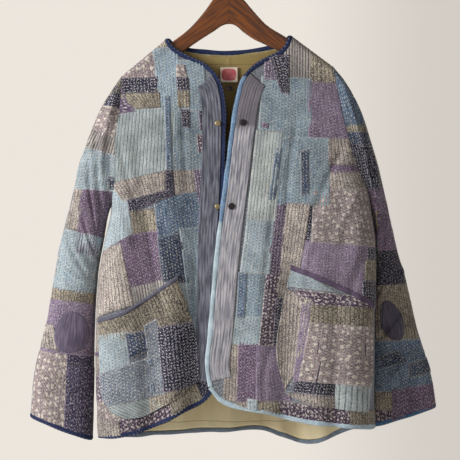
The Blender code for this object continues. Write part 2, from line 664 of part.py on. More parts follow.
def back_panel():
    flat = back_grid()
    directions = []
    for side, column in ((-1, 0), (1, -1)):
        standing, apart = [np.concatenate([ring[:1], ring[:ARMHOLE_STEPS - 1:-1]])
                           for ring in armhole_directions(side)]
        seam = slice(0, ARMHOLE_STEPS + 1)
        directions.append((seam, column, standing, -ARMHOLE_GAP * apart))
        directions.append((slice(ARMHOLE_STEPS + 2, None), column, [[side * 1.0, 0.0, 0.0]], 0.0))
    return panel_walls(flat, False, False, BACK_PATCHES, directions)


def binding_section(edge_point, inner_point, normal):
    """Section of a folded strip: a flat bar as wide as the strip, rounded along its outer edge."""
    out = BINDING_OUT
    within = -WALL - BINDING_OUT
    middle = -WALL / 2
    across = edge_point - inner_point
    edge = BINDING_EDGE / 2
    places = ((0.0, out), (0.8, out), (1.0, middle + edge), (1.0, middle - edge),
              (0.8, within), (0.0, within))
    return [inner_point + share * across + rise * normal for share, rise in places]


def binding_on_body(line, toward, start, end, front, tucked, seams=()):
    """Stations of a binding along a garment edge on the body, its ends cut at side seams."""
    inner = inset(line, BINDING_WIDTH, toward, start=start, end=end)
    for place, side in seams:
        line[place] = beside_seam(side, line[place])
        inner[place] = beside_seam(side, inner[place])
    edge_points = body_point(line[:, 0], line[:, 1], front, tucked)
    inner_points = body_point(inner[:, 0], inner[:, 1], front, tucked)
    normals = body_normal(inner[:, 0], inner[:, 1], front, tucked)
    return [binding_section(*station) for station in zip(edge_points, inner_points, normals)]


def shortened(line, at_start, at_end):
    """The line with its end points moved in, to leave a seam's gap."""
    line = line.copy()
    line[0] += unit(line[1] - line[0]) * at_start
    line[-1] += unit(line[-2] - line[-1]) * at_end
    return line


def add_panels(materials):
    made = {}
    for side, word in ((-1, "right"), (1, "left")):
        outside, inside, normal = front_panel(side)
        made[word] = (outside, normal)
        finish(wall_between(outside, inside), f"front_{word}", materials["denim"])
    outside, inside, normal = back_panel()
    made["back"] = (inside, normal)
    finish(wall_between(outside, inside), "back", materials["stone_blue"])
    return made


def add_sleeves(materials):
    made = {}
    for side, word in ((-1, "right"), (1, "left")):
        rings = sleeve_rings(side)
        normals = ring_normals(rings, side)
        normals[0] = armhole_directions(side)[0]
        cuff = rings[-1] - rings[-2]
        length = np.linalg.norm(cuff, axis=1, keepdims=True)
        rings[-1] = rings[-2] + cuff * (1 - (BINDING_WIDTH + SEAM_GAP) / length)
        inside = rings - WALL * normals
        finish(wall_between(rings, inside, ring=True), f"sleeve_{word}", materials["denim"])
        down = unit(cuff)
        near = rings[-1] + SEAM_GAP * down
        far = near + BINDING_WIDTH * down
        sections = [binding_section(*station) for station in zip(far, near, normals[-1])]
        finish(bar_along(sections, ring=True), f"cuff_binding_{word}", materials["navy"])
        made[word] = (rings, normals)
    return made


def add_bindings(materials):
    for side, word, hem_colour in ((-1, "right", "navy"), (1, "left", "pale_blue")):
        edge_line, hem_line, outer_line = front_outline(side)
        shoulder = unit(outer_line[0] - edge_line[0])
        toward, corner = front_directions(side)
        tucked = side < 0
        edge = shortened(edge_line, SEAM_GAP / 2, SEAM_GAP / 2)
        hem = shortened(hem_line, SEAM_GAP / 2, 0.0)
        strips = (
            (f"edge_binding_{word}", edge, shoulder, corner, hem_colour, ()),
            (f"hem_binding_{word}", hem, corner, (0.0, 1.0), hem_colour, ((-1, side),)))
        for name, line, start, end, colour, seams in strips:
            stations = binding_on_body(line, toward, start, end, True, tucked, seams)
            finish(bar_along(stations), name, materials[colour])
    neck_line, hem_line, right, left = back_outline()
    along_right = unit(right[0] - neck_line[0])
    along_left = unit(left[0] - neck_line[-1])
    neck = shortened(neck_line, SEAM_GAP / 2, SEAM_GAP / 2)
    stations = binding_on_body(neck, (0.0, -0.5), along_right, along_left, False, False)
    finish(bar_along(stations), "neck_binding_back", materials["navy"])
    stations = binding_on_body(hem_line, (0.0, -0.5), (0.0, 1.0), (0.0, 1.0), False, False,
                               ((0, -1), (-1, 1)))
    finish(bar_along(stations), "hem_binding_back", materials["pale_blue"])


def add_front_bands(panels, materials):
    """Washed strips that lie along the front edges, from the fronts' own points."""
    for word in ("right", "left"):
        outside, normal = panels[word]
        rows = slice(len(SEAM_STEPS), outside.shape[0])
        face = outside[rows, :BAND_COLUMNS + 1]
        out = normal[rows, :BAND_COLUMNS + 1]
        near = face + SEAM_GAP * out
        finish(wall_between(near + STRIP * out, near), f"front_band_{word}",
               materials["lilac_grey"])


def add_lining(panels, materials):
    """The lining where it shows, at the neck and the hem, from the back's inner points."""
    inside, normal = panels["back"]
    rows, columns = inside.shape[:2]
    yoke = (slice(*YOKE_ROWS), slice(YOKE_MARGIN, columns - YOKE_MARGIN))
    hem = (slice(rows - 1 - HEM_FACING_ROWS, rows - 1),
           slice(HEM_FACING_MARGIN, columns - HEM_FACING_MARGIN))
    for name, place in (("lining_yoke", yoke), ("lining_hem", hem)):
        near = inside[place] - SEAM_GAP * normal[place]
        far = near - LINING * normal[place]
        finish(wall_between(near, far), name, materials["khaki"])


def add_pockets(materials):
    sides = (
        (-1, "right", POCKET_MOUTH_RIGHT, POCKET_SIDE_RIGHT, POCKET_INNER_RIGHT,
         POCKET_HEM_RIGHT, "grey_binding"),
        (1, "left", POCKET_MOUTH_LEFT, POCKET_SIDE_LEFT, POCKET_INNER_LEFT,
         POCKET_HEM_LEFT, "plum"))
    columns = np.linspace(0, 1, POCKET_COLUMNS + 1)
    rows = np.linspace(0, 1, POCKET_ROWS + 1)
    for side, word, mouth, seam_side, inner_side, hem, trim in sides:
        left, right = (seam_side, inner_side) if side < 0 else (inner_side, seam_side)
        top = curve_through(mouth, columns)
        flat = filled(top, curve_through(hem, columns), curve_through(left, rows),
                      curve_through(right, rows))
        tucked = side < 0
        face = body_point(flat[..., 0], flat[..., 1], True, tucked)
        out = body_normal(flat[..., 0], flat[..., 1], True, tucked)
        near = face + (OVERLAY_GAP + APPLIQUE) * out
        body = wall_between(near + STRIP * out, near)
        finish(body, f"pocket_{word}", materials["denim"])
        line = top + np.array([0.0, SEAM_GAP])
        upper = line + np.array([0.0, BINDING_WIDTH])
        stations = []
        for low, high in zip(line, upper):
            a = body_point(low[0], low[1], True, tucked)
            b = body_point(high[0], high[1], True, tucked)
            n = body_normal(low[0], low[1], True, tucked)
            base = OVERLAY_GAP + APPLIQUE
            thick = STRIP + BINDING_OUT
            stations.append([a + base * n, a + (base + thick) * n, b + (base + thick) * n,
                             b + base * n])
        finish(bar_along(stations), f"pocket_binding_{word}", materials[trim])


def add_elbow_patches(sleeves, materials):
    """Oval patches on the outer faces of the sleeves."""
    for side, word, place in ((-1, "right", ELBOW_RIGHT), (1, "left", ELBOW_LEFT)):
        rings, normals = sleeves[word]
        table = SLEEVE_RIGHT if side < 0 else SLEEVE_LEFT
        at_ring, at_share, half_width, half_height = place
        low = table[int(at_ring)]
        width = math.dist((low[0], low[1]), (low[2], low[3]))
        step = abs(table[int(at_ring)][1] - table[int(at_ring) + 1][1])
        _, share = armhole(side)
        rows = []
        for ring in range(ELBOW_RINGS + 1):
            grown = ELBOW_CENTRE + (1 - ELBOW_CENTRE) * ring / ELBOW_RINGS
            row = []
            for number in range(ELBOW_SIDES):
                angle = 2 * math.pi * number / ELBOW_SIDES
                across = at_share + grown * half_width / width * math.cos(angle)
                along = at_ring + 1 + grown * half_height / step * math.sin(angle)
                column = np.interp(across, share, np.arange(len(share)))
                row.append((along, column))
            rows.append(row)
        rows = np.array(rows)
        face = grid_value(rings, rows[..., 0], rows[..., 1])
        out = unit(grid_value(normals, rows[..., 0], rows[..., 1]))
        near = face + ELBOW_GAP * out
        far = near + STRIP * out
        finish(plate_between(far, near), f"elbow_patch_{word}",
               materials["lilac_grey" if side < 0 else "charcoal"])


def grid_value(grid, row, column):
    """Value of a grid between its points."""
    i = np.clip(np.floor(row).astype(int), 0, grid.shape[0] - 2)
    j = np.clip(np.floor(column).astype(int), 0, grid.shape[1] - 2)
    a, b = (row - i)[..., None], (column - j)[..., None]
    upper = grid[i, j] * (1 - b) + grid[i, j + 1] * b
    lower = grid[i + 1, j] * (1 - b) + grid[i + 1, j + 1] * b
    return upper * (1 - a) + lower * a


def plate_between(outside, inside):
    """Closes two like sets of rings into a plate, each with a middle point."""
    made = bmesh.new()
    count = outside.shape[1]
    layers = []
    for grid in (outside, inside):
        rings = [[made.verts.new(p) for p in row] for row in grid]
        centre = made.verts.new(grid[0].mean(axis=0))
        layers.append(rings)
        for j in range(count):
            k = (j + 1) % count
            made.faces.new((centre, rings[0][j], rings[0][k]))
            for a, b in zip(rings[:-1], rings[1:]):
                made.faces.new((a[j], a[k], b[k], b[j]))
    out, within = layers[0][-1], layers[1][-1]
    for j in range(count):
        k = (j + 1) % count
        made.faces.new((out[j], out[k], within[k], within[j]))
    return made


def add_snap_half(name, place, tucked, radius, height, base, finish_material):
    """A snap's cap, socket or stud: a low turned button that stands on the cloth."""
    across, down = place
    point = body_point(across, down, True, tucked)
    normal = body_normal(across, down, True, tucked)
    button = bmesh.new()
    bmesh.ops.create_cone(button, cap_ends=True, segments=SNAP_SIDES, radius1=radius,
                          radius2=radius * SNAP_TAPER, depth=height)
    made = finish(button, name, finish_material)
    sign = 1.0 if base >= 0 else -1.0
    axis = sign * normal
    made.location = point + normal * (base + sign * height / 2)
    z_axis = np.array([0.0, 0.0, 1.0])
    turn_axis = np.cross(z_axis, axis)
    angle = math.acos(float(np.clip(np.dot(z_axis, axis), -1.0, 1.0)))
    turn_axis = turn_axis / np.linalg.norm(turn_axis)
    made.rotation_mode = "AXIS_ANGLE"
    made.rotation_axis_angle = (angle, *turn_axis)


def add_snaps(materials):
    on_band = STRIP + SNAP_GAP_BAND
    for word, place in SNAP_PLACES_LEFT.items():
        add_snap_half(f"snap_cap_{word}", place, False, CAP_RADIUS, CAP_HEIGHT, on_band,
                      materials["dark_metal"])
        add_snap_half(f"snap_socket_{word}", place, False, STUD_RADIUS, STUD_HEIGHT,
                      -WALL - SNAP_GAP_INSIDE, materials["brass"])
    for word, place in SNAP_PLACES_RIGHT.items():
        add_snap_half(f"snap_stud_{word}", place, True, STUD_RADIUS, STUD_HEIGHT, on_band,
                      materials["brass"])


def add_neck_trim(materials):
    """The bare label and the dark loop tape on the inside of the back neck."""
    inner = WALL + SEAM_GAP + LINING
    pieces = (("neck_label", LABEL, "label"), ("neck_loop", LOOP, "navy"))
    for name, (width, tall, middle, thick), colour in pieces:
        across = np.linspace(-width / 2, width / 2, 3)[None, :] * np.ones((3, 1))
        height = middle + np.linspace(tall / 2, -tall / 2, 3)[:, None] * np.ones((1, 3))
        face = body_point(across, height, False)
        out = body_normal(across, height, False)
        near = face - (inner + LABEL_GAP) * out
        finish(wall_between(near, near - thick * out), name, materials[colour])


def add_hanger(materials):
    """The wooden bow: rounded sections through its table, thinner towards the ends."""
    half = HANGER_THICKNESS / 2
    stations = []
    for x, top, bottom in HANGER_BOW:
        middle, rise = (top + bottom) / 2, (top - bottom) / 2
        station = []
        for number in range(HANGER_SIDES):
            angle = 2 * math.pi * (number + 0.5) / HANGER_SIDES
            level, upright = math.cos(angle), math.sin(angle)
            y = half * math.copysign(abs(level) ** HANGER_ROUNDING, level)
            z = middle + rise * math.copysign(abs(upright) ** HANGER_ROUNDING, upright)
            station.append(np.array([x, y, z]))
        stations.append(station)
    finish(bar_along(stations), "hanger_wood", materials["wood"])


def add_hook(materials):
    """The wire hook: a stem from the bow's top, then most of a circle round the rail."""
    radius = HOOK_RADIUS + HOOK_WIRE
    centre = -HOOK_RADIUS
    stem_foot = max(top for _, top, _ in HANGER_BOW) + SEAM_GAP
    points = [(0.0, stem_foot), (0.0, stem_foot + HOOK_STEM),
              (HOOK_OFFSET, centre - radius - HOOK_NECK)]
    for number in range(HOOK_STEPS + 1):
        angle = math.radians(HOOK_START + HOOK_TURN * number / HOOK_STEPS)
        points.append((radius * math.cos(angle), centre + radius * math.sin(angle)))
    line = curve_through(points, np.linspace(0, 1, HOOK_POINTS))
    curve = bpy.data.curves.new("hanger_hook", "CURVE")
    curve.dimensions = "3D"
    curve.bevel_depth = HOOK_WIRE
    curve.bevel_resolution = 2
    curve.use_fill_caps = True
    spline = curve.splines.new("POLY")
    spline.points.add(len(line) - 1)
    for point, (x, z) in zip(spline.points, line):
        point.co = (x, 0.0, z, 1.0)
    curve.materials.append(materials["steel"])
    hook = bpy.data.objects.new("hanger_hook", curve)
    bpy.data.collections[NAME].objects.link(hook)


def build():
    clear_scene()
    collection = bpy.data.collections.new(NAME)
    bpy.context.scene.collection.children.link(collection)
    metals = {"brass": 0.35, "dark_metal": 0.4, "steel": 0.25}
    materials = {name: material(name, metals.get(name, 0.9), 1.0 if name in metals else 0.0)
                 for name in COLOURS}
    panels = add_panels(materials)
    sleeves = add_sleeves(materials)
    add_bindings(materials)
    add_front_bands(panels, materials)
    add_lining(panels, materials)
    add_pockets(materials)
    add_elbow_patches(sleeves, materials)
    add_snaps(materials)
    add_neck_trim(materials)
    add_hanger(materials)
    add_hook(materials)


build()
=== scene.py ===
"""A patched boro jacket, quilted, worn and mended, open on its wooden hanger.

Metres, +Z up. The wearer's left is +X and the wearer's back is +Y. Places on the cloth are given
flat: "across" from the middle of the chest or back towards the side seam, and "height".
"""
import itertools
import math

import bmesh
import bpy
import numpy as np
from mathutils.kdtree import KDTree
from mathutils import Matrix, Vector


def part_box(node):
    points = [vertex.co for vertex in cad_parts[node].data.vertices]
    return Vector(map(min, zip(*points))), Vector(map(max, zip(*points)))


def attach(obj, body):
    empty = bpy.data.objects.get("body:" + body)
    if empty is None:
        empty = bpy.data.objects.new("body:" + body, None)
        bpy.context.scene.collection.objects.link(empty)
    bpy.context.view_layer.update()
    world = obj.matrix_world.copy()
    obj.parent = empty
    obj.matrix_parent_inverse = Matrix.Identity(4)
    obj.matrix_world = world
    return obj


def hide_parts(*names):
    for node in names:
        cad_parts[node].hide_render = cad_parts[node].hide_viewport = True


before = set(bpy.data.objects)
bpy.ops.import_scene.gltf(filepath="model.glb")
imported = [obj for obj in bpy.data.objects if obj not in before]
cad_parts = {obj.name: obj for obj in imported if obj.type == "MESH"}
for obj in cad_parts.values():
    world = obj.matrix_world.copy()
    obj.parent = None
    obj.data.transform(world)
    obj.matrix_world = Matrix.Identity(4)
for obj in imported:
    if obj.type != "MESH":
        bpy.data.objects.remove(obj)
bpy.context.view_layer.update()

# Camera, floor and light
# A level view from 2.3 m in front, a pale floor well below the hanging jacket, and the soft light
# of a window on the left with little fill, so that the far sleeve stays in shade.
VIEW_DISTANCE = 2.3
VIEW_CENTRE_X, VIEW_CENTRE_Z = 0.0018, -0.4896
VIEW_WIDTH = 0.828
SENSOR = 36.0
FLOOR_HEIGHT, FLOOR_RADIUS = -1.7, 3.0
WALL_COLOUR = (0.84, 0.79, 0.725, 1.0)
FLOOR_COLOUR = (0.66, 0.64, 0.60, 1.0)
AMBIENT, WALL_BRIGHTNESS = 0.36, 1.0
# Painted shade: the wall seen by the camera is darkened towards the right, away from the window light
SHADED_FROM, SHADED_TO, SHADE = 0.03, 0.17, 0.77   # the wall grows darker towards the right

scene = bpy.context.scene
scene.view_settings.view_transform = "Standard"
camera_data = bpy.data.cameras.new("front_view")
camera_data.sensor_width = SENSOR
camera_data.lens = SENSOR * VIEW_DISTANCE / VIEW_WIDTH
camera = bpy.data.objects.new("front_view", camera_data)
camera.location = (VIEW_CENTRE_X, -VIEW_DISTANCE, VIEW_CENTRE_Z)
camera.rotation_euler = (math.radians(90), 0.0, 0.0)
scene.collection.objects.link(camera)
scene.camera = camera

floor_mesh = bpy.data.meshes.new("floor")
floor_shape = bmesh.new()
bmesh.ops.create_circle(floor_shape, cap_ends=True, segments=96, radius=FLOOR_RADIUS)
bmesh.ops.translate(floor_shape, verts=floor_shape.verts, vec=(0.0, 0.0, FLOOR_HEIGHT))
floor_shape.to_mesh(floor_mesh)
floor_shape.free()
floor = bpy.data.objects.new("floor", floor_mesh)
scene.collection.objects.link(floor)
floor_paint = bpy.data.materials.new("pale_floor")
floor_paint.use_nodes = True
floor_paint.node_tree.nodes["Principled BSDF"].inputs["Base Color"].default_value = FLOOR_COLOUR
floor_mesh.materials.append(floor_paint)

world = bpy.data.worlds.new("studio")
world.use_nodes = True
scene.world = world
sky = world.node_tree.nodes
sky["Background"].inputs["Color"].default_value = WALL_COLOUR
sky["Background"].inputs["Strength"].default_value = AMBIENT
wall_glow = sky.new("ShaderNodeBackground")
wall_glow.inputs["Color"].default_value = WALL_COLOUR
ways = sky.new("ShaderNodeSeparateXYZ")
darker = sky.new("ShaderNodeMapRange")
darker.interpolation_type = "SMOOTHSTEP"
for socket, value in (("From Min", SHADED_FROM), ("From Max", SHADED_TO),
                      ("To Min", WALL_BRIGHTNESS), ("To Max", SHADE * WALL_BRIGHTNESS)):
    darker.inputs[socket].default_value = value
seen_directly = sky.new("ShaderNodeLightPath")
either = sky.new("ShaderNodeMixShader")
join = world.node_tree.links.new
join(sky.new("ShaderNodeTexCoord").outputs["Generated"], ways.inputs[0])
join(ways.outputs[0], darker.inputs["Value"])
join(darker.outputs[0], wall_glow.inputs["Strength"])
join(seen_directly.outputs["Is Camera Ray"], either.inputs[0])
join(sky["Background"].outputs[0], either.inputs[1])
join(wall_glow.outputs[0], either.inputs[2])
join(either.outputs[0], sky["World Output"].inputs["Surface"])

LAMPS = (
    ("window", (-2.5, -1.45, 0.30), (0.0, 0.0, -0.5), 1.3, 104.0, (1.0, 0.985, 0.96)),
    ("room_fill", (1.5, -2.6, 0.3), (0.0, 0.0, -0.5), 1.8, 6.0, (0.96, 0.98, 1.0)),
    ("back_fill", (0.6, 2.6, 0.6), (0.0, 0.0, -0.5), 2.0, 36.0, (1.0, 0.99, 0.97)),
)
for lamp_name, place, aim, size, power, colour in LAMPS:
    lamp_data = bpy.data.lights.new(lamp_name, "AREA")
    lamp_data.size = size
    lamp_data.energy = power
    lamp_data.color = colour
    lamp = bpy.data.objects.new(lamp_name, lamp_data)
    lamp.location = place
    direction = Vector(aim) - Vector(place)
    lamp.rotation_euler = direction.to_track_quat("-Z", "Y").to_euler()
    scene.collection.objects.link(lamp)


# The back
# One wide quilted panel of old patches on a stout ground cloth, lined with khaki cotton. It hangs
# from the hanger's shoulders and opens into soft upright folds towards the hem.
WALL = 0.0030
GROUND_DROP = 0.0009           # the ground cloth lies this far under the faces of the patches
NECK_RIGHT, NECK_LEFT = (-0.110, -0.144), (0.110, -0.139)
SHOULDER_RIGHT, SHOULDER_LEFT = (-0.1926, -0.2124), (0.1870, -0.1960)
SHOULDER_BEND = 0.0115
SHOULDER_TOP = SHOULDER_BEND * (math.pi / 2 - 1)
SHOULDER_BLEND = 0.12
UNDERARM_RIGHT, UNDERARM_LEFT = -0.4446, -0.4480
SIDE_HEM_RIGHT, SIDE_HEM_LEFT = -0.864, -0.846
# Height, half depth, and where the flat of the chest ends on the right and on the left
SECTIONS = (
    (-0.870, 0.062, 0.1720, 0.2008), (-0.796, 0.060, 0.1776, 0.2020),
    (-0.706, 0.058, 0.1814, 0.2048), (-0.634, 0.0545, 0.1831, 0.2083),
    (-0.562, 0.0508, 0.1814, 0.2123), (-0.515, 0.0468, 0.1770, 0.2160),
    (-0.445, 0.0420, 0.1686, 0.2125), (-0.418, 0.0395, 0.1728, 0.2116),
    (-0.364, 0.0345, 0.1836, 0.2030), (-0.310, 0.0280, 0.1920, 0.1994),
    (-0.256, 0.0210, 0.1930, 0.1960), (-0.212, 0.0160, 0.1926, 0.1900),
    (-0.120, 0.0120, 0.1926, 0.1870),
)
ARMHOLE_TURN = ((0.0, 0.0), (0.2, 8.0), (0.42, 20.0), (0.65, 35.0), (0.88, 62.0), (1.0, 90.0))
BACK_NECK = (
    NECK_RIGHT, (-0.100, -0.151), (-0.070, -0.160), (-0.036, -0.164), (0.0, -0.1655),
    (0.036, -0.162), (0.068, -0.157), (0.100, -0.147), NECK_LEFT,
)
BACK_HEM = (
    (-0.180, -0.872), (-0.100, -0.866), (-0.016, -0.863), (0.066, -0.861), (0.100, -0.873),
    (0.132, -0.885), (0.162, -0.884), (0.196, -0.869), (0.240, -0.854),
)
# Folds: across and height at the top, the same at the bottom, half width, and height outwards
FRONT_FOLDS = (
    (-0.150, -0.260, -0.172, -0.420, 0.020, -0.004),
    (-0.105, -0.320, -0.090, -0.800, 0.030, 0.007),
    (-0.148, -0.470, -0.132, -0.850, 0.024, -0.006),
    (-0.180, -0.540, -0.172, -0.860, 0.020, 0.004),
    (-0.060, -0.460, -0.062, -0.800, 0.018, -0.004),
    (0.062, -0.330, 0.052, -0.810, 0.028, 0.006),
    (0.108, -0.420, 0.100, -0.830, 0.024, -0.006),
    (0.160, -0.300, 0.158, -0.840, 0.028, 0.007),
    (0.196, -0.520, 0.196, -0.840, 0.020, -0.004),
)
BACK_FOLDS = (
    (-0.150, -0.520, -0.152, -0.880, 0.026, 0.008),
    (-0.105, -0.460, -0.100, -0.880, 0.026, -0.008),
    (-0.050, -0.300, -0.046, -0.870, 0.028, 0.008),
    (0.004, -0.420, 0.010, -0.870, 0.026, -0.007),
    (0.055, -0.340, 0.062, -0.870, 0.026, 0.006),
    (0.115, -0.560, 0.128, -0.890, 0.026, 0.012),
    (0.172, -0.480, 0.178, -0.870, 0.022, -0.006),
)
FOLD_FADE, FOLD_START = 0.03, 1.4
CREASE_DEPTH = 1.5
# Creases, finer than the folds: where each starts and ends, half width, and height outwards
FRONT_CREASES = (
    (-0.196, -0.330, -0.150, -0.470, 0.006, -0.0024), (-0.205, -0.420, -0.168, -0.520, 0.007, 0.0022),
    (-0.150, -0.430, -0.108, -0.640, 0.007, -0.0020), (-0.128, -0.470, -0.094, -0.600, 0.006, 0.0016),
    (-0.082, -0.250, -0.070, -0.420, 0.005, -0.0014), (-0.170, -0.230, -0.120, -0.300, 0.006, 0.0012),
    (-0.225, -0.560, -0.190, -0.640, 0.008, -0.0018), (-0.060, -0.520, -0.046, -0.690, 0.006, -0.0016),
    (0.205, -0.340, 0.150, -0.480, 0.007, -0.0024), (0.230, -0.420, 0.190, -0.520, 0.007, 0.0020),
    (0.120, -0.300, 0.106, -0.470, 0.006, -0.0018), (0.086, -0.420, 0.062, -0.640, 0.006, -0.0018),
    (0.150, -0.500, 0.128, -0.610, 0.007, 0.0018), (0.250, -0.520, 0.215, -0.620, 0.008, -0.0020),
    (0.070, -0.700, 0.066, -0.800, 0.007, -0.0016), (-0.200, -0.800, -0.130, -0.835, 0.006, 0.0014),
)
BACK_CREASES = (
    (-0.180, -0.300, -0.120, -0.420, 0.007, -0.0024), (-0.210, -0.430, -0.150, -0.520, 0.008, 0.0024),
    (0.185, -0.300, 0.120, -0.440, 0.007, -0.0024), (0.215, -0.430, 0.160, -0.540, 0.008, 0.0022),
    (-0.060, -0.220, -0.030, -0.360, 0.006, -0.0016), (0.050, -0.240, 0.030, -0.400, 0.007, 0.0016),
    (-0.110, -0.600, -0.080, -0.760, 0.008, -0.0020), (0.020, -0.560, 0.044, -0.740, 0.007, 0.0018),
    (0.140, -0.620, 0.110, -0.800, 0.008, -0.0022), (0.090, -0.180, 0.130, -0.260, 0.006, -0.0014),
)
# The right front passes behind the left one towards its edge
TUCK_DEPTH = 0.0115
TUCK_START, TUCK_END, TUCK_TOP, TUCK_BOTTOM = -0.115, -0.042, -0.240, -0.330


def smooth_table(x, rows, column):
    """Reads a column of a table against its first one, as a smooth curve through the rows."""
    table = np.asarray(rows, float)
    keys, values = table[:, 0], table[:, column]
    slopes = np.gradient(values, keys)
    x = np.clip(x, keys[0], keys[-1])
    i = np.clip(np.searchsorted(keys, x, side="right") - 1, 0, len(keys) - 2)
    width = keys[i + 1] - keys[i]
    t = (x - keys[i]) / width
    start = (1 + 2 * t) * (1 - t) ** 2 * values[i] + t * (1 - t) ** 2 * width * slopes[i]
    end = t * t * (3 - 2 * t) * values[i + 1] + t * t * (t - 1) * width * slopes[i + 1]
    return start + end


def smooth_step(value):
    value = np.clip(value, 0.0, 1.0)
    return value * value * (3 - 2 * value)


def unit(vectors):
    return vectors / np.maximum(np.linalg.norm(vectors, axis=-1, keepdims=True), 1e-9)


def lengths(line):
    steps = np.linalg.norm(np.diff(line, axis=0), axis=1)
    return np.concatenate([[0.0], np.cumsum(steps)])


def curve_through(points, count):
    """Evenly spaced points of a smooth curve through a few points."""
    points = np.asarray(points, float)
    keys = lengths(points)
    fine_keys = np.linspace(0, keys[-1], 400)
    fine = np.stack([smooth_table(fine_keys, np.column_stack([keys, points[:, a]]), 1)
                     for a in range(points.shape[1])], axis=1)
    along = lengths(fine)
    wanted = np.linspace(0, along[-1], count)
    return np.stack([np.interp(wanted, along, fine[:, a]) for a in range(points.shape[1])], axis=1)


def inset(line, distance, toward):
    """Moves a line of the flat pattern sideways, toward a point."""
    tangent = unit(np.gradient(line, axis=0))
    normal = np.stack([-tangent[:, 1], tangent[:, 0]], axis=1)
    middle = len(line) // 2
    if np.dot(normal[middle], np.asarray(toward) - line[middle]) < 0:
        normal = -normal
    return line + distance * normal


def shoulder_line(across):
    slope_right = (NECK_RIGHT[1] - SHOULDER_RIGHT[1]) / (NECK_RIGHT[0] - SHOULDER_RIGHT[0])
    slope_left = (NECK_LEFT[1] - SHOULDER_LEFT[1]) / (NECK_LEFT[0] - SHOULDER_LEFT[0])
    right = NECK_RIGHT[1] + slope_right * (across - NECK_RIGHT[0])
    left = NECK_LEFT[1] + slope_left * (across - NECK_LEFT[0])
    return np.where(across < 0, right, left)


def flat_end(across, height):
    return np.where(across < 0, smooth_table(height, SECTIONS, 2), smooth_table(height, SECTIONS, 3))


def fold_height(folds, across, height):
    total = np.zeros(np.broadcast(across, height).shape)
    for top_x, top_z, end_x, end_z, half_width, rise in folds:
        share = (height - top_z) / (end_z - top_z)
        middle = top_x + (end_x - top_x) * share
        bell = np.exp(-(((across - middle) / half_width) ** 2))
        total += rise * bell * smooth_step(share * FOLD_START)
    return total


def crease_height(creases, across, height):
    """Sum of short soft creases, each fading towards its ends."""
    total = np.zeros(np.broadcast(across, height).shape)
    for x0, z0, x1, z1, half_width, rise in creases:
        length = math.hypot(x1 - x0, z1 - z0)
        along = ((across - x0) * (x1 - x0) + (height - z0) * (z1 - z0)) / length ** 2
        aside = ((across - x0) * (z1 - z0) - (height - z0) * (x1 - x0)) / length
        aside = aside - half_width * np.sin(2.6 * along)
        ends = smooth_step(along * 3 + 0.4) * smooth_step((1 - along) * 3 + 0.4)
        total += CREASE_DEPTH * rise * ends * np.exp(-((aside / half_width) ** 2))
    return total


def body_point(across, height, front=True, tucked=False):
    """Point of the body's outer face, as the solids have it, with the fine creases added."""
    across, height = np.broadcast_arrays(np.asarray(across, float), np.asarray(height, float))
    limit = flat_end(across, height)
    flat = np.minimum(np.abs(across), limit)
    beyond = np.abs(across) - flat
    side = np.where(across < 0, -1.0, 1.0)
    line = shoulder_line(side * flat)
    drop = line - height
    bend = np.clip((SHOULDER_BEND - drop) / SHOULDER_BEND, 0.0, 3.0)
    z = np.where(bend > 0, line - SHOULDER_BEND + SHOULDER_BEND * np.sin(bend), height)
    opening = smooth_step((drop - SHOULDER_BEND) / SHOULDER_BLEND)
    depth = SHOULDER_BEND + (smooth_table(height, SECTIONS, 1) - SHOULDER_BEND) * opening
    fade = smooth_step((limit - flat) / FOLD_FADE)
    folds, creases = (FRONT_FOLDS, FRONT_CREASES) if front else (BACK_FOLDS, BACK_CREASES)
    depth = depth + fade * opening * fold_height(folds, side * flat, height)
    depth = depth + opening * crease_height(creases, across, height)
    if tucked:
        sideways = smooth_step((side * flat - TUCK_START) / (TUCK_END - TUCK_START))
        depth = depth - TUCK_DEPTH * sideways * smooth_step(
            (height - TUCK_TOP) / (TUCK_BOTTOM - TUCK_TOP))
    depth = np.where(bend > 0, SHOULDER_BEND * np.cos(bend), depth)
    turn = beyond / np.where(np.abs(depth) < 1e-4, 1e-4, depth)
    x = side * (flat + depth * np.sin(turn))
    y = depth * np.cos(turn) * (-1.0 if front else 1.0)
    return np.stack([x, y, z], axis=-1)


def on_body(front, tucked=False):
    """The body's face as a surface: flat places in, points and outward directions out."""
    def surface(flat):
        across, height = flat[..., 0], flat[..., 1]
        step = 0.0006
        along = (body_point(across + step, height, front, tucked)
                 - body_point(across - step, height, front, tucked))
        down = (body_point(across, height - step, front, tucked)
                - body_point(across, height + step, front, tucked))
        normal = unit(np.cross(down, along)) * (1.0 if front else -1.0)
        return body_point(across, height, front, tucked), normal
    return surface


def side_seam(side, height):
    depth = smooth_table(height, SECTIONS, 1)
    return side * (flat_end(side * np.ones_like(height), height) + depth * math.pi / 2)


def armhole_at(side, share):
    """Flat place on the armhole seam, at a share of its drop from the shoulder to the underarm."""
    point = SHOULDER_RIGHT if side < 0 else SHOULDER_LEFT
    under = UNDERARM_RIGHT if side < 0 else UNDERARM_LEFT
    top = point[1] + SHOULDER_TOP
    height = top + (under - top) * share
    turn = np.radians(smooth_table(share, ARMHOLE_TURN, 1))
    limit = flat_end(side * np.ones_like(height), height)
    start = abs(point[0]) - float(flat_end(np.array(side * 1.0), np.array(top)))
    depth = np.abs(body_point(side * limit, height)[..., 1])
    return np.stack([side * (limit + start * (1 - share) ** 3 + depth * turn), height], axis=-1)


def outer_line(side):
    """Armhole seam and side seam in the flat, from the shoulder to the hem."""
    seam = armhole_at(side, np.linspace(0, 1, 60))
    hem = SIDE_HEM_RIGHT if side < 0 else SIDE_HEM_LEFT
    heights = np.linspace(seam[-1, 1], hem - 0.02, 90)[1:]
    return np.concatenate([seam, np.column_stack([side_seam(side, heights), heights])])


def across_at(line, height):
    order = np.argsort(line[:, 1])
    return np.interp(height, line[order, 1], line[order, 0])


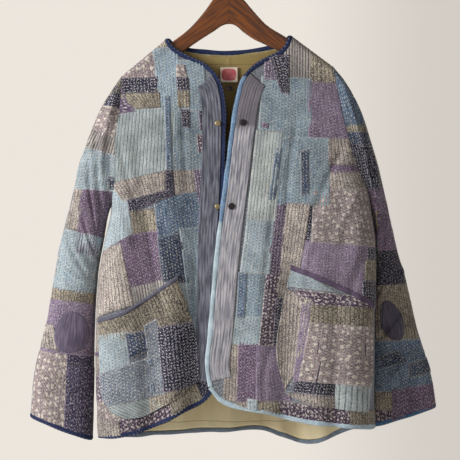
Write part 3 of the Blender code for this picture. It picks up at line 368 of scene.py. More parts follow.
def height_at(line, across):
    order = np.argsort(line[:, 0])
    return np.interp(across, line[order, 0], line[order, 1])


SEAM_MARGIN = 0.0004
BACK_MIDDLE = (0.0, -0.5)
UNDER_BINDING = 0.0040         # the cloth runs this far from the garment's edge, inside the binding
back_right, back_left = outer_line(-1), outer_line(1)
neck_points = ((NECK_RIGHT[0], NECK_RIGHT[1] + SHOULDER_TOP),) + BACK_NECK[1:-1] + (
    (NECK_LEFT[0], NECK_LEFT[1] + SHOULDER_TOP),)
neck_line = curve_through(neck_points, 160)
hem_ends = [(float(side_seam(s, np.array(h))), h)
            for s, h in ((-1, SIDE_HEM_RIGHT), (1, SIDE_HEM_LEFT))]
back_hem_line = curve_through((hem_ends[0],) + BACK_HEM + (hem_ends[1],), 260)


def keep_within(low_line, high_line, top, bottom):
    """Holds flat places inside a panel, and says which of them were outside."""
    def hold(flat):
        height = np.clip(flat[..., 1], -0.90, 0.0)
        low = across_at(low_line, height) + SEAM_MARGIN
        high = across_at(high_line, height) - SEAM_MARGIN
        across = np.clip(flat[..., 0], low, np.maximum(high, low))
        height = np.clip(height, bottom(across), np.maximum(top(across), bottom(across)))
        held = np.stack([across, height], axis=-1)
        return held, np.linalg.norm(held - flat, axis=-1) > 1e-7
    return hold


def back_top(across):
    neck = height_at(inset(neck_line, UNDER_BINDING, BACK_MIDDLE), across)
    shoulder = shoulder_line(across) + SHOULDER_TOP - SEAM_MARGIN
    beside_neck = (across < NECK_RIGHT[0]) | (across > NECK_LEFT[0])
    return np.where(beside_neck, shoulder, neck)


def back_bottom(across):
    return height_at(inset(back_hem_line, UNDER_BINDING, BACK_MIDDLE), across)


within_back = keep_within(back_right, back_left, back_top, back_bottom)


def face_outwards(shape, points, normals):
    """Turns the faces of an open sheet to the outer side of the surface it lies on."""
    shape.normal_update()
    middle = shape.faces[:][len(shape.faces) // 2]
    nearest = np.argmin(np.linalg.norm(points - np.array(middle.calc_center_median()), axis=1))
    if middle.normal.dot(Vector(normals[nearest])) < 0:
        bmesh.ops.reverse_faces(shape, faces=shape.faces)


def set_uv(shape, u, v):
    """Gives each corner of a sheet the u and v of its point."""
    uv_layer = shape.loops.layers.uv.new("UVMap")
    shape.verts.index_update()
    for face in shape.faces:
        for loop in face.loops:
            index = loop.vert.index
            loop[uv_layer].uv = (u[index], v[index])


def ground_cloth(name, surface, edges, columns, rows, materials, turns=False):
    """The stout cloth under the patches, lined: a fine grid held to its solid's form.

    edges gives flat places from shares across and down the piece; turns closes it into a tube.
    """
    shape = bmesh.new()
    uv_layer = shape.loops.layers.uv.new("UVMap")
    bmesh.ops.create_grid(shape, x_segments=columns, y_segments=rows, size=0.5, calc_uvs=True)
    places = np.array([vert.co for vert in shape.verts])
    flat = edges(places[:, 0] + 0.5, 0.5 - places[:, 1])
    points, normals = surface(flat)
    for vert, point in zip(shape.verts, points - GROUND_DROP * normals):
        vert.co = point
    for face in shape.faces:
        for loop in face.loops:
            loop[uv_layer].uv = loop[uv_layer].uv * 0.6
    if turns:
        bmesh.ops.remove_doubles(shape, verts=shape.verts, dist=1e-6)
    face_outwards(shape, points, normals)
    return cloth_piece(name, shape, materials, WALL - GROUND_DROP)


def cloth_piece(name, shape, materials, thickness=None):
    """Makes an object of a bmesh, smooth, and gives it a wall if it is open."""
    mesh = bpy.data.meshes.new(name)
    shape.to_mesh(mesh)
    shape.free()
    mesh.shade_smooth()
    for material in materials:
        mesh.materials.append(material)
    made = bpy.data.objects.new(name, mesh)
    scene.collection.objects.link(made)
    if thickness:
        wall = made.modifiers.new("wall", "SOLIDIFY")
        wall.thickness = thickness
        wall.offset = -1.0
        wall.material_offset = 1 if len(materials) > 1 else 0
    return made


# Each cloth has its own weave, print and fade, and rows of running stitches by hand. Its UV is
# in metres, with a row of stitches at each whole pitch, so that prints keep their true size.
STITCH_PITCH, STITCH_LENGTH = 0.0058, 0.0054
THREAD_HALF = 0.085            # half the thread's width, as a share of the pitch
# How strongly each shows in the colour of a patch
PRINT_SHOWS, FLECKS_SHOW, DARK_FLECKS_SHOW, THREAD_SHOWS, FRAY_SHOWS = 0.85, 0.50, 0.44, 0.80, 0.5
FLECK_COLOUR = (206, 204, 200)


def linear(colour):
    """sRGB numbers out of 255 as a linear colour."""
    shares = [value / 255 for value in colour]
    return tuple(v / 12.92 if v <= 0.04045 else ((v + 0.055) / 1.055) ** 2.4 for v in shares) + (1.0,)


def add_node(tree, kind, inputs=(), **settings):
    made = tree.nodes.new(kind)
    for key, value in settings.items():
        setattr(made, key, value)
    for name, value in inputs:
        if isinstance(value, bpy.types.NodeSocket):
            tree.links.new(value, made.inputs[name])
        else:
            made.inputs[name].default_value = value
    return made


def calc(tree, operation, first, second=0.0):
    return add_node(tree, "ShaderNodeMath", ((0, first), (1, second)), operation=operation).outputs[0]


def times(tree, first, second):
    return calc(tree, "MULTIPLY", first, second)


def plus(tree, first, second):
    return calc(tree, "ADD", first, second)


def spread_out(tree, value, low, high, to_low=0.0, to_high=1.0):
    made = add_node(tree, "ShaderNodeMapRange", (
        ("Value", value), ("From Min", low), ("From Max", high), ("To Min", to_low),
        ("To Max", to_high)), interpolation_type="SMOOTHSTEP")
    return made.outputs[0]


def blend(tree, share, first, second, kind="MIX"):
    made = add_node(tree, "ShaderNodeMix", ((0, share), (6, first), (7, second)),
                    data_type="RGBA", blend_type=kind)
    return made.outputs[2]


def noise(tree, place, scale, detail=2.0, stretch=(1.0, 1.0, 1.0)):
    spread = add_node(tree, "ShaderNodeVectorMath", ((0, place), (1, stretch)), operation="MULTIPLY")
    made = add_node(tree, "ShaderNodeTexNoise", (
        ("Vector", spread.outputs[0]), ("Scale", scale), ("Detail", detail)))
    return made.outputs[0]


def spot_of(tree, uv_map=None):
    """A place on the piece, by its UV map or in Object coordinates, and that place's axes."""
    if uv_map:
        spot = add_node(tree, "ShaderNodeUVMap", uv_map=uv_map).outputs[0]
    else:
        spot = add_node(tree, "ShaderNodeTexCoord").outputs["Object"]
    return spot, add_node(tree, "ShaderNodeSeparateXYZ", ((0, spot),)).outputs


def start_finish(name, uv_map=None):
    made = bpy.data.materials.new(name)
    made.use_nodes = True
    return made, made.node_tree, *spot_of(made.node_tree, uv_map)


def end_finish(made, shade, raised, strength, distance, sockets):
    """Gives a finish its colour, its relief and its other sockets, fixed or linked."""
    tree = made.node_tree
    shader = tree.nodes["Principled BSDF"]
    tree.links.new(shade, shader.inputs["Base Color"])
    for socket, value in sockets:
        if isinstance(value, bpy.types.NodeSocket):
            tree.links.new(value, shader.inputs[socket])
        else:
            shader.inputs[socket].default_value = value
    if raised:
        bump = add_node(tree, "ShaderNodeBump", (
            ("Height", raised), ("Strength", strength), ("Distance", distance)))
        tree.links.new(bump.outputs[0], shader.inputs["Normal"])
    return made


def dimmed(tree, shade, level):
    grey = add_node(tree, "ShaderNodeCombineColor", ((0, level), (1, level), (2, level))).outputs[0]
    return blend(tree, 1.0, shade, grey, "MULTIPLY")


COTTON = (("Roughness", 0.94), ("Specular IOR Level", 0.18))
WEAVE = (1300.0, 1300.0, 1.0)  # threads in a metre, along and across


def cells(tree, place, size, scatter):
    made = add_node(tree, "ShaderNodeTexVoronoi", (
        ("Vector", place), ("Scale", 1 / size), ("Randomness", scatter)), voronoi_dimensions="2D")
    return made.outputs["Distance"]


def printed(tree, place, across, kind, size):
    """Where a print's ink lies: flecks, dots, flowers or stripes."""
    if kind == "speckle":
        fine = noise(tree, place, 1 / size, 3.0)
        broad = noise(tree, place, 90.0, 2.0)
        return spread_out(tree, plus(tree, fine, times(tree, broad, 0.3)), 0.61, 0.71)
    if kind == "dots":
        return spread_out(tree, cells(tree, place, size, 0.35), 0.22, 0.12)
    if kind == "flower":
        ragged = noise(tree, place, 3.0 / size, 2.0)
        far = plus(tree, cells(tree, place, size, 0.55), times(tree, ragged, 0.45))
        return spread_out(tree, far, 0.52, 0.38)
    wave = calc(tree, "FRACT", times(tree, across, 1 / size))
    return spread_out(tree, wave, 0.55, 0.65)


def fabric(name, colour, streak, thread, print_kind=None, ink=(230, 225, 215), size=0.004,
           stitched=1.0, streaks=0.6):
    """Worn cotton: slubs along the warp, an optional print, fading, fuzzy rims and hand stitches, with
    painted shadow in the stitch gaps.
    """
    made, tree, place, axes = start_finish(name, "UVMap")
    tint = add_node(tree, "ShaderNodeAttribute", attribute_name="tint").outputs["Fac"]
    rim = add_node(tree, "ShaderNodeAttribute", attribute_name="rim").outputs["Fac"]
    slub = noise(tree, place, 1.0, 3.0, (430.0, 46.0, 1.0))
    weave = noise(tree, place, 1.0, 1.0, WEAVE)
    broad = noise(tree, place, 1.0, 2.0, (64.0, 14.0, 1.0))
    pale_fleck = spread_out(tree, noise(tree, place, 1.0, 2.0, (560.0, 330.0, 1.0)), 0.53, 0.66)
    dark_fleck = spread_out(tree, noise(tree, place, 1.0, 2.0, (420.0, 300.0, 1.0)), 0.54, 0.68)
    fading = noise(tree, place, 26.0, 5.0)
    share = times(tree, spread_out(tree, slub, 0.40, 0.66), streaks)
    share = calc(tree, "MAXIMUM", share, spread_out(tree, broad, 0.50, 0.72, 0.0, streaks))
    shade = blend(tree, share, linear(colour), linear(streak))
    if print_kind:
        inked = printed(tree, place, axes[0], print_kind, size)
        shade = blend(tree, times(tree, inked, PRINT_SHOWS), shade, linear(ink))
    shade = blend(tree, times(tree, pale_fleck, FLECKS_SHOW), shade, linear(FLECK_COLOUR))
    row = plus(tree, times(tree, axes[0], 1 / STITCH_PITCH), 0.5)
    wander = times(tree, noise(tree, place, 70.0), 0.36)
    beside = calc(tree, "ABSOLUTE", calc(
        tree, "SUBTRACT", calc(tree, "FRACT", plus(tree, row, wander)), 0.68))
    on_row = spread_out(tree, beside, THREAD_HALF * 2.2, THREAD_HALF * 0.8)
    shifted = times(tree, calc(tree, "FLOOR", row), 0.37)
    dash = calc(tree, "FRACT", plus(tree, times(
        tree, axes[1], 1 / STITCH_LENGTH), calc(
        tree, "ADD", shifted, times(tree, fading, 2.4))))
    thread_shows = spread_out(tree, dash, 0.52, 0.42)
    faint = spread_out(tree, noise(tree, place, 150.0, 2.0), 0.38, 0.62, 0.15, 1.0)
    sewn = times(tree, times(tree, on_row, thread_shows), faint)
    sewn = times(tree, sewn, stitched)
    # Painted shadow: along each stitch row the gaps between the visible stitches are darkened, as shade where
    # the stitches draw the cloth in
    stitch_gap_shadow = times(tree, calc(tree, "SUBTRACT", on_row, sewn), 0.50 * stitched)
    # The dimming below joins this painted stitch shadow and the cloth's own dark flecks
    stitch_shadow_and_dark_flecks = plus(tree, stitch_gap_shadow, times(tree, dark_fleck, DARK_FLECKS_SHOW))
    level = plus(tree, spread_out(tree, fading, 0.30, 0.72, 0.80, 1.14),
                 times(tree, tint, 0.13))
    level = times(tree, level, spread_out(tree, weave, 0.3, 0.7, 0.84, 1.14))
    level = times(tree, level, calc(tree, "SUBTRACT", 1.06, stitch_shadow_and_dark_flecks))
    shade = dimmed(tree, shade, level)
    frayed = times(tree, rim, spread_out(tree, slub, 0.30, 0.55))
    shade = blend(tree, times(tree, frayed, FRAY_SHOWS), shade, linear(thread))
    shade = blend(tree, times(tree, sewn, THREAD_SHOWS), shade, linear(thread))
    pillow = calc(tree, "POWER", times(tree, beside, 2.0), 0.5)
    pillow = times(tree, pillow, stitched)
    grain = plus(tree, times(tree, weave, 0.32), times(tree, slub, 0.4))
    raised = plus(tree, plus(tree, times(tree, pillow, 0.9), grain),
                  times(tree, sewn, 0.45))
    return end_finish(made, shade, raised, 0.75, 0.0007, COTTON + (("Sheen Weight", 0.12),))


PALE_THREAD, DARK_THREAD, LILAC_THREAD = (208, 204, 196), (66, 62, 76), (176, 162, 180)
CLOTHS = {
    "chambray": fabric("chambray", (140, 158, 170), (94, 118, 144), PALE_THREAD),
    "chambray_light": fabric("chambray_light", (160, 174, 182), (116, 140, 160), PALE_THREAD),
    "pale": fabric("pale_cotton", (166, 176, 178), (128, 142, 150), DARK_THREAD),
    "white": fabric("white_cotton", (188, 194, 192), (146, 160, 170), DARK_THREAD),
    "denim": fabric("denim", (98, 120, 144), (56, 76, 108), PALE_THREAD, streaks=0.9),
    "denim_dark": fabric("dark_denim", (58, 74, 102), (34, 44, 70), PALE_THREAD, streaks=0.9),
    "grey_blue": fabric("grey_blue_cotton", (112, 120, 134), (80, 88, 106), PALE_THREAD),
    "navy": fabric("navy_dots", (34, 36, 58), (22, 24, 42), LILAC_THREAD, "dots",
                   (200, 200, 206), 0.0054),
    "navy_plain": fabric("navy_cotton", (42, 42, 62), (28, 28, 48), LILAC_THREAD),
    "navy_violet": fabric("violet_navy", (66, 60, 88), (46, 42, 66), LILAC_THREAD),
    "plum": fabric("plum_cotton", (108, 88, 114), (74, 60, 84), LILAC_THREAD),
    "plum_light": fabric("washed_plum", (136, 120, 144), (96, 80, 108), LILAC_THREAD),
    "plum_dot": fabric("plum_dots", (98, 84, 108), (70, 58, 84), LILAC_THREAD, "dots",
                       (196, 188, 196), 0.0058),
    "plum_flower": fabric("plum_flowers", (76, 58, 82), (56, 44, 64), PALE_THREAD, "flower",
                          (200, 186, 190), 0.0080),
    "mauve": fabric("mauve_flowers", (146, 132, 134), (110, 96, 104), PALE_THREAD, "flower",
                    (204, 196, 186), 0.0120),
    "speckle": fabric("cream_speckle", (196, 186, 176), (158, 146, 142), DARK_THREAD, "speckle",
                      (84, 76, 84), 0.0019),
    "khaki_speckle": fabric("khaki_speckle", (172, 162, 144), (140, 130, 116), DARK_THREAD,
                            "speckle", (68, 62, 62), 0.0021),
    "stripe": fabric("blue_stripe", (176, 172, 164), (142, 134, 132), DARK_THREAD, "stripe",
                     (88, 80, 94), 0.0050),
}
GROUND = fabric("ground_cloth", (122, 130, 142), (96, 104, 120), PALE_THREAD)
LINING = fabric("khaki_lining", (150, 138, 92), (132, 120, 80), (176, 164, 120), stitched=0.0)
CLOTH_NAMES = tuple(CLOTHS)
PATCH_SPAN = 0.0034            # spacing of a patch's rows of points
TURNED, TURN_DEPTH = 0.0009, 0.0013             # how far an edge turns under, and how deep
LEVEL_RISE, ORDER_RISE = 0.0009, 0.00013
STITCH_DIP, PUFF, PUFF_EASE = 0.00050, 0.00040, 0.003
FRINGE = 0.0022                # width of the worn rim of a patch
PATCH_GROWTH, RAGGED = 0.018, 0.010            # shares of a patch's size
MILLIMETRE = 0.001


def shares_along(length, spans):
    """Shares of a length with a narrow first and last step, where the cloth turns under."""
    rim = min(TURNED / length, 0.2)
    return np.concatenate([[0.0], np.linspace(rim, 1 - rim, spans + 1), [1.0]])


def quad_place(corners):
    """Bilinear places of a four-cornered patch, grown a little past its drawn edge."""
    corners = np.asarray(corners, float).reshape(4, 2)
    top_left, top_right, low_right, low_left = corners + (corners - corners.mean(axis=0)) * PATCH_GROWTH

    def place(s, t):
        s, t = s[..., None], t[..., None]
        top = top_left * (1 - s) + top_right * s
        low = low_left * (1 - s) + low_right * s
        return top * (1 - t) + low * t
    return place


def lay_patch(whole, place, surface, hold, cloth, rise, seed, ragged=0.0):
    """Lays one piece of cloth on a surface, turned under all round and drawn in at its stitches."""
    rng = np.random.default_rng(seed)
    probe = np.linspace(0, 1, 9)
    half = np.full(9, 0.5)
    width = lengths(surface(hold(place(probe, half))[0])[0])[-1]
    tall = lengths(surface(hold(place(half, probe))[0])[0])[-1]
    rows = max(1, int(round(width / STITCH_PITCH)))
    s_steps = shares_along(width, 2 * rows)
    t_steps = shares_along(tall, max(2, int(round(tall / PATCH_SPAN))))
    piece = bmesh.new()
    bmesh.ops.create_grid(piece, x_segments=len(s_steps) - 1, y_segments=len(t_steps) - 1, size=0.5)
    spots = np.array([vert.co for vert in piece.verts])
    s_index = np.rint((spots[:, 0] + 0.5) * (len(s_steps) - 1)).astype(int)
    t_index = np.rint((0.5 - spots[:, 1]) * (len(t_steps) - 1)).astype(int)
    s, t = s_steps[s_index], t_steps[t_index]
    if ragged:
        bite = rng.normal(0, ragged, len(t_steps))
        s = s + (s_index == len(s_steps) - 1) * bite[t_index] - (s_index == 0) * bite[t_index]
    flat, moved = hold(place(s, t))
    points, normals = surface(flat)
    u = s * rows * STITCH_PITCH
    v = t * tall
    edge = ((s_index == 0) | (s_index == len(s_steps) - 1)
            | (t_index == 0) | (t_index == len(t_steps) - 1))
    near = np.minimum(np.minimum(s, 1 - s) * width, np.minimum(t, 1 - t) * tall)
    swell = np.abs(np.sin(math.pi * u / STITCH_PITCH)) ** 0.7
    phases = rng.uniform(0, 6.28, 6)
    uneven = (np.sin(v / 0.0083 + phases[0] + 2.0 * np.sin(u / 0.017 + phases[1]))
              + np.sin(v / 0.0049 + u / 0.006 + phases[2])) * 0.25 + 0.75
    height = (swell * PUFF * uneven - (1 - swell) * STITCH_DIP * 0.5) * np.clip(near / PUFF_EASE, 0, 1)
    height = np.where(edge, -TURN_DEPTH - rise * 0.6, height)
    points = points + (rise + height)[:, None] * normals
    for vert, point in zip(piece.verts, points):
        vert.co = point
    outside = set(np.flatnonzero(moved))
    piece.verts.index_update()
    lost = [face for face in piece.faces if all(vert.index in outside for vert in face.verts)]
    tint_layer = piece.verts.layers.float.new("tint")
    rim_layer = piece.verts.layers.float.new("rim")
    shift = STITCH_PITCH * int(rng.integers(0, 90)), rng.uniform(0, 0.9)
    tint = rng.uniform(-1, 1)
    for vert, fringe in zip(piece.verts, np.clip(1 - near / FRINGE, 0, 1)):
        vert[tint_layer] = tint
        vert[rim_layer] = fringe
    for face in piece.faces:
        face.material_index = cloth
    set_uv(piece, u + shift[0], v + shift[1])
    centre = min(piece.faces, key=lambda face: (face.calc_center_median()
                                                - Vector(points[len(points) // 2])).length)
    piece.normal_update()
    if centre.normal.dot(Vector(normals[len(points) // 2])) < 0:
        bmesh.ops.reverse_faces(piece, faces=piece.faces)
    bmesh.ops.delete(piece, geom=lost, context="FACES")
    if piece.faces:
        held = bpy.data.meshes.new("patch")
        piece.to_mesh(held)
        whole.from_mesh(held)
        bpy.data.meshes.remove(held)
    piece.free()


def patchwork(name, surface, seed, *groups):
    """All the patches of one panel as one object, in the order in which they were sewn on."""
    whole = bmesh.new()
    for rows, hold, scale in groups:
        for number, (cloth, level, *corners) in enumerate(rows):
            corners = np.array(corners, float).reshape(4, 2) * scale
            rise = level * LEVEL_RISE + (number % 6) * ORDER_RISE
            lay_patch(whole, quad_place(corners), surface, hold, CLOTH_NAMES.index(cloth), rise,
                      seed + number, ragged=RAGGED if level and number % 3 == 0 else 0.0)
        seed += len(rows)
    return cloth_piece(name, whole, list(CLOTHS.values()))


def spread_between(low_line, high_line, top, bottom):
    """Flat places from shares across and down a panel."""
    def place(s, t):
        across = across_at(low_line, -0.5) + (across_at(high_line, -0.5)
                                              - across_at(low_line, -0.5)) * s
        for _ in range(14):
            height = top(across) + (bottom(across) - top(across)) * t
            low, high = across_at(low_line, height), across_at(high_line, height)
            across = 0.5 * across + 0.5 * (low + SEAM_MARGIN + (high - low - 2 * SEAM_MARGIN) * s)
        return np.stack([across, height], axis=-1)
    return place


# Names of the cloths: how thick, then across and height of the four corners in millimetres
BACK_PATCHWORK = (
    ("khaki_speckle", 0, -200, -140, -88, -140, -84, -262, -206, -268),
    ("chambray", 0, -92, -150, 22, -158, 18, -300, -88, -292),
    ("plum_dot", 0, 18, -150, 112, -140, 118, -246, 16, -252),
    ("pale", 0, 108, -130, 196, -150, 204, -282, 112, -288),
    ("navy", 1, -60, -176, -6, -174, -4, -238, -58, -242),
    ("mauve", 0, -214, -260, -120, -254, -116, -372, -228, -380),
    ("denim", 0, -124, -286, -30, -292, -26, -404, -122, -398),
    ("speckle", 0, -34, -288, 62, -244, 66, -398, -30, -402),
    ("chambray_light", 0, 58, -242, 134, -248, 138, -392, 62, -398),
    ("plum", 0, 130, -276, 214, -282, 236, -402, 132, -396),
    ("navy", 1, -176, -300, -132, -296, -130, -352, -172, -356),
    ("stripe", 1, 84, -282, 112, -284, 110, -352, 82, -350),
    ("plum_flower", 0, -244, -366, -150, -372, -146, -470, -250, -476),
    ("chambray", 0, -154, -394, -52, -398, -48, -528, -150, -520),
    ("khaki_speckle", 0, -56, -396, 40, -400, 42, -488, -54, -492),
    ("navy_violet", 0, 36, -394, 118, -392, 122, -500, 38, -506),
    ("pale", 0, 114, -390, 250, -398, 290, -492, 118, -498),
    ("denim_dark", 1, 150, -420, 176, -418, 178, -482, 152, -484),
    ("speckle", 0, -274, -466, -146, -462, -142, -596, -286, -600),
    ("mauve", 0, -146, -516, -44, -522, -40, -640, -142, -634),
    ("plum_light", 0, -48, -486, 50, -490, 54, -612, -44, -618),
    ("chambray_light", 0, 46, -498, 142, -494, 146, -622, 50, -628),
    ("khaki_speckle", 0, 138, -486, 306, -486, 312, -600, 142, -606),
    ("navy", 1, -112, -552, -76, -550, -74, -604, -108, -606),
    ("white", 1, 168, -520, 196, -518, 198, -570, 170, -572),
    ("denim", 0, -290, -590, -180, -594, -176, -716, -290, -712),
    ("plum_dot", 0, -184, -592, -100, -630, -96, -748, -180, -742),
    ("chambray", 0, -104, -628, 6, -612, 10, -742, -100, -748),
    ("speckle", 0, 2, -610, 104, -622, 108, -756, 6, -750),
    ("pale", 0, 100, -618, 196, -600, 200, -742, 104, -750),
    ("plum", 0, 192, -596, 314, -594, 314, -720, 196, -726),
    ("grey_blue", 1, -60, -660, -24, -658, -22, -720, -56, -722),
    ("khaki_speckle", 0, -290, -706, -170, -712, -166, -890, -290, -890),
    ("mauve", 0, -174, -738, -62, -744, -58, -900, -170, -900),
    ("chambray_light", 0, -66, -740, 40, -746, 44, -900, -62, -900),
    ("plum_flower", 0, 36, -744, 132, -750, 136, -905, 40, -905),
    ("denim", 0, 128, -738, 222, -730, 226, -905, 132, -905),
    ("speckle", 0, 218, -716, 316, -714, 318, -890, 222, -895),
    ("navy_plain", 1, 60, -800, 88, -798, 90, -846, 62, -848),
)
back_ground = ground_cloth("back_ground", on_body(False),
                           spread_between(back_right, back_left, back_top, back_bottom),
                           84, 104, [GROUND, LINING])
back_patches = patchwork("back_patches", on_body(False), 300, (BACK_PATCHWORK, within_back, MILLIMETRE))
for piece in (back_ground, back_patches):
    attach(piece, "root")
    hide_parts("back")


# The fronts
# Two quilted fronts cut from shoulder to hem, covered with small old patches sewn down by rows of
# running stitches. The right one passes a little behind the left one below the chest.
FRONT_EDGE_RIGHT = (
    NECK_RIGHT, (-0.103, -0.157), (-0.070, -0.178), (-0.038, -0.194), (-0.016, -0.220),
    (-0.008, -0.247), (-0.005, -0.275), (-0.005, -0.320), (-0.007, -0.400), (-0.012, -0.522),
    (-0.014, -0.616), (-0.016, -0.700), (-0.018, -0.742), (-0.026, -0.774),
)
FRONT_EDGE_LEFT = (
    NECK_LEFT, (0.097, -0.162), (0.059, -0.184), (0.034, -0.202), (0.020, -0.222),
    (0.013, -0.247), (0.002, -0.310), (-0.009, -0.400), (-0.018, -0.468), (-0.028, -0.560),
    (-0.037, -0.670), (-0.042, -0.736), (-0.036, -0.768),
)
FRONT_HEM_RIGHT = (
    (-0.026, -0.774), (-0.042, -0.792), (-0.077, -0.810), (-0.124, -0.834), (-0.172, -0.850),
)
FRONT_HEM_LEFT = (
    (-0.036, -0.768), (-0.018, -0.790), (0.005, -0.801), (0.062, -0.812), (0.106, -0.824),
    (0.174, -0.834),
)
RIGHT_PATCHES = (
    ("khaki_speckle", 0, -145, -157, -106, -139, -95, -171, -141, -178),
    ("mauve", 0, -195, -189, -138, -157, -127, -218, -188, -225),
    ("chambray", 0, -138, -164, -91, -160, -84, -279, -126, -276),
    ("navy", 0, -173, -218, -127, -214, -125, -245, -171, -247),
    ("plum_dot", 0, -191, -222, -170, -218, -164, -279, -183, -283),
    ("khaki_speckle", 0, -170, -245, -123, -243, -121, -272, -166, -274),
    ("pale", 0, -187, -276, -94, -267, -97, -385, -201, -408),
    ("chambray", 0, -98, -269, -41, -258, -30, -382, -101, -385),
    ("denim", 1, -116, -251, -105, -251, -99, -383, -112, -383),
    ("chambray", 0, -95, -185, -45, -185, -37, -279, -91, -279),
    ("mauve", 1, -95, -193, -79, -194, -73, -218, -95, -216),
    ("navy", 1, -95, -216, -73, -216, -70, -240, -93, -240),
    ("khaki_speckle", 1, -93, -240, -70, -240, -69, -272, -93, -272),
    ("navy", 1, -87, -274, -69, -274, -69, -308, -84, -306),
    ("navy_plain", 1, -55, -276, -46, -276, -46, -310, -52, -312),
    ("plum_flower", 1, -59, -319, -44, -317, -39, -351, -55, -353),
    ("speckle", 0, -203, -408, -112, -383, -113, -421, -186, -442),
    ("navy_plain", 0, -113, -383, -99, -382, -94, -429, -113, -431),
    ("navy_plain", 1, -179, -435, -104, -417, -95, -429, -161, -454),
    ("speckle", 0, -101, -382, -62, -382, -57, -422, -95, -431),
    ("plum_dot", 0, -64, -382, -30, -380, -12, -454, -53, -456),
    ("plum_flower", 0, -53, -454, -12, -453, -19, -599, -33, -606),
    ("chambray_light", 0, -210, -411, -181, -437, -169, -497, -257, -540),
    ("navy", 0, -182, -435, -157, -433, -155, -456, -177, -458),
    ("khaki_speckle", 0, -175, -456, -129, -451, -125, -493, -171, -498),
    ("plum", 0, -197, -500, -122, -490, -113, -578, -179, -592),
    ("denim", 0, -134, -429, -55, -422, -42, -493, -125, -507),
    ("denim_dark", 0, -127, -502, -83, -493, -69, -585, -118, -581),
    ("chambray", 0, -88, -488, -41, -484, -26, -686, -65, -686),
    ("speckle", 0, -259, -536, -191, -513, -167, -623, -282, -655),
    ("stripe", 0, -181, -590, -111, -574, -107, -599, -174, -630),
    ("chambray_light", 0, -116, -578, -83, -572, -65, -613, -90, -613),
    ("speckle", 0, -282, -655, -207, -652, -215, -708, -283, -713),
    ("plum", 1, -283, -709, -213, -704, -213, -713, -284, -718),
    ("speckle", 0, -281, -713, -207, -708, -205, -744, -279, -751),
    ("plum_flower", 0, -279, -749, -195, -742, -193, -791, -275, -799),
    ("mauve", 0, -277, -796, -191, -788, -184, -858, -272, -875),
    ("speckle", 1, -273, -821, -193, -825, -188, -861, -272, -875),
    ("plum_flower", 0, -197, -823, -103, -791, -93, -830, -191, -860),
    ("khaki_speckle", 0, -107, -791, -58, -760, -42, -795, -93, -830),
    ("plum_flower", 0, -65, -665, -23, -669, -23, -697, -58, -697),
    ("khaki_speckle", 0, -60, -695, -26, -693, -30, -739, -54, -739),
    ("navy_plain", 0, -65, -737, -26, -737, -23, -791, -54, -802),
)
LEFT_PATCHES = (
    ("stripe", 0, 98, -132, 149, -150, 148, -222, 98, -222),
    ("khaki_speckle", 0, 145, -146, 192, -171, 198, -232, 145, -229),
    ("chambray", 0, 59, -214, 148, -218, 147, -330, 52, -324),
    ("navy", 1, 70, -178, 109, -175, 107, -247, 93, -245),
    ("plum_dot", 0, 63, -189, 106, -178, 102, -222, 63, -222),
    ("white", 0, 48, -312, 96, -315, 83, -474, 30, -474),
    ("denim", 1, 82, -344, 96, -344, 83, -437, 69, -437),
    ("plum", 1, 59, -297, 71, -299, 71, -310, 59, -308),
    ("plum_light", 0, 141, -222, 201, -229, 210, -328, 140, -328),
    ("chambray", 0, 91, -323, 179, -326, 178, -447, 76, -447),
    ("denim_dark", 1, 126, -348, 142, -348, 142, -426, 127, -428),
    ("speckle", 0, 176, -326, 214, -326, 223, -374, 175, -374),
    ("plum", 0, 175, -373, 225, -372, 231, -388, 175, -389),
    ("speckle", 0, 172, -387, 234, -386, 240, -422, 172, -422),
    ("mauve", 0, 150, -419, 244, -415, 292, -522, 145, -511),
    ("denim", 0, 80, -433, 108, -433, 106, -447, 78, -447),
    ("plum_dot", 0, 80, -440, 104, -440, 92, -567, 65, -567),
    ("speckle", 0, 101, -442, 145, -444, 125, -567, 88, -564),
    ("navy", 0, 140, -442, 156, -442, 150, -511, 132, -511),
    ("plum_light", 0, 124, -507, 292, -520, 302, -637, 114, -564),
    ("navy", 1, 246, -520, 298, -522, 299, -544, 247, -543),
    ("khaki_speckle", 1, 242, -541, 302, -544, 303, -583, 240, -580),
    ("navy", 1, 235, -578, 303, -581, 305, -630, 236, -620),
    ("chambray_light", 0, 32, -470, 81, -470, 72, -567, 19, -567),
    ("chambray", 0, 19, -565, 70, -564, 62, -644, 11, -644),
    ("chambray_light", 0, 11, -641, 62, -641, 56, -691, 2, -691),
    ("denim", 1, 16, -564, 33, -564, 28, -644, 12, -644),
    ("plum_flower", 0, 65, -564, 92, -564, 81, -693, 51, -693),
    ("speckle", 0, 88, -557, 122, -557, 111, -613, 83, -613),
    ("navy", 0, 81, -609, 97, -609, 86, -693, 76, -693),
    ("speckle", 0, -5, -688, 19, -688, 16, -795, -12, -795),
    ("plum", 0, 16, -686, 51, -688, 47, -791, 12, -791),
    ("plum_light", 0, 47, -690, 90, -691, 110, -791, 46, -791),
    ("speckle", 0, -12, -788, 33, -788, 37, -816, -12, -812),
    ("chambray_light", 1, 32, -784, 51, -786, 51, -816, 33, -814),
    ("khaki_speckle", 0, 49, -788, 86, -789, 93, -823, 49, -819),
    ("plum_flower", 0, 81, -788, 220, -804, 216, -837, 86, -826),
    ("khaki_speckle", 0, 212, -802, 311, -814, 312, -853, 212, -837),
)


FRONT_MIDDLE = {-1: (-0.12, -0.5), 1: (0.12, -0.5)}


def front_lines(side):
    """A front's garment edge, its hem and its outer line, in the flat."""
    edge = FRONT_EDGE_RIGHT if side < 0 else FRONT_EDGE_LEFT
    hem = FRONT_HEM_RIGHT if side < 0 else FRONT_HEM_LEFT
    neck_top = (edge[0][0], edge[0][1] + SHOULDER_TOP)
    edge_line = curve_through((neck_top,) + edge[1:], 260)
    hem_line = curve_through(hem + (hem_ends[0] if side < 0 else hem_ends[1],), 160)
    return edge_line, hem_line, outer_line(side)


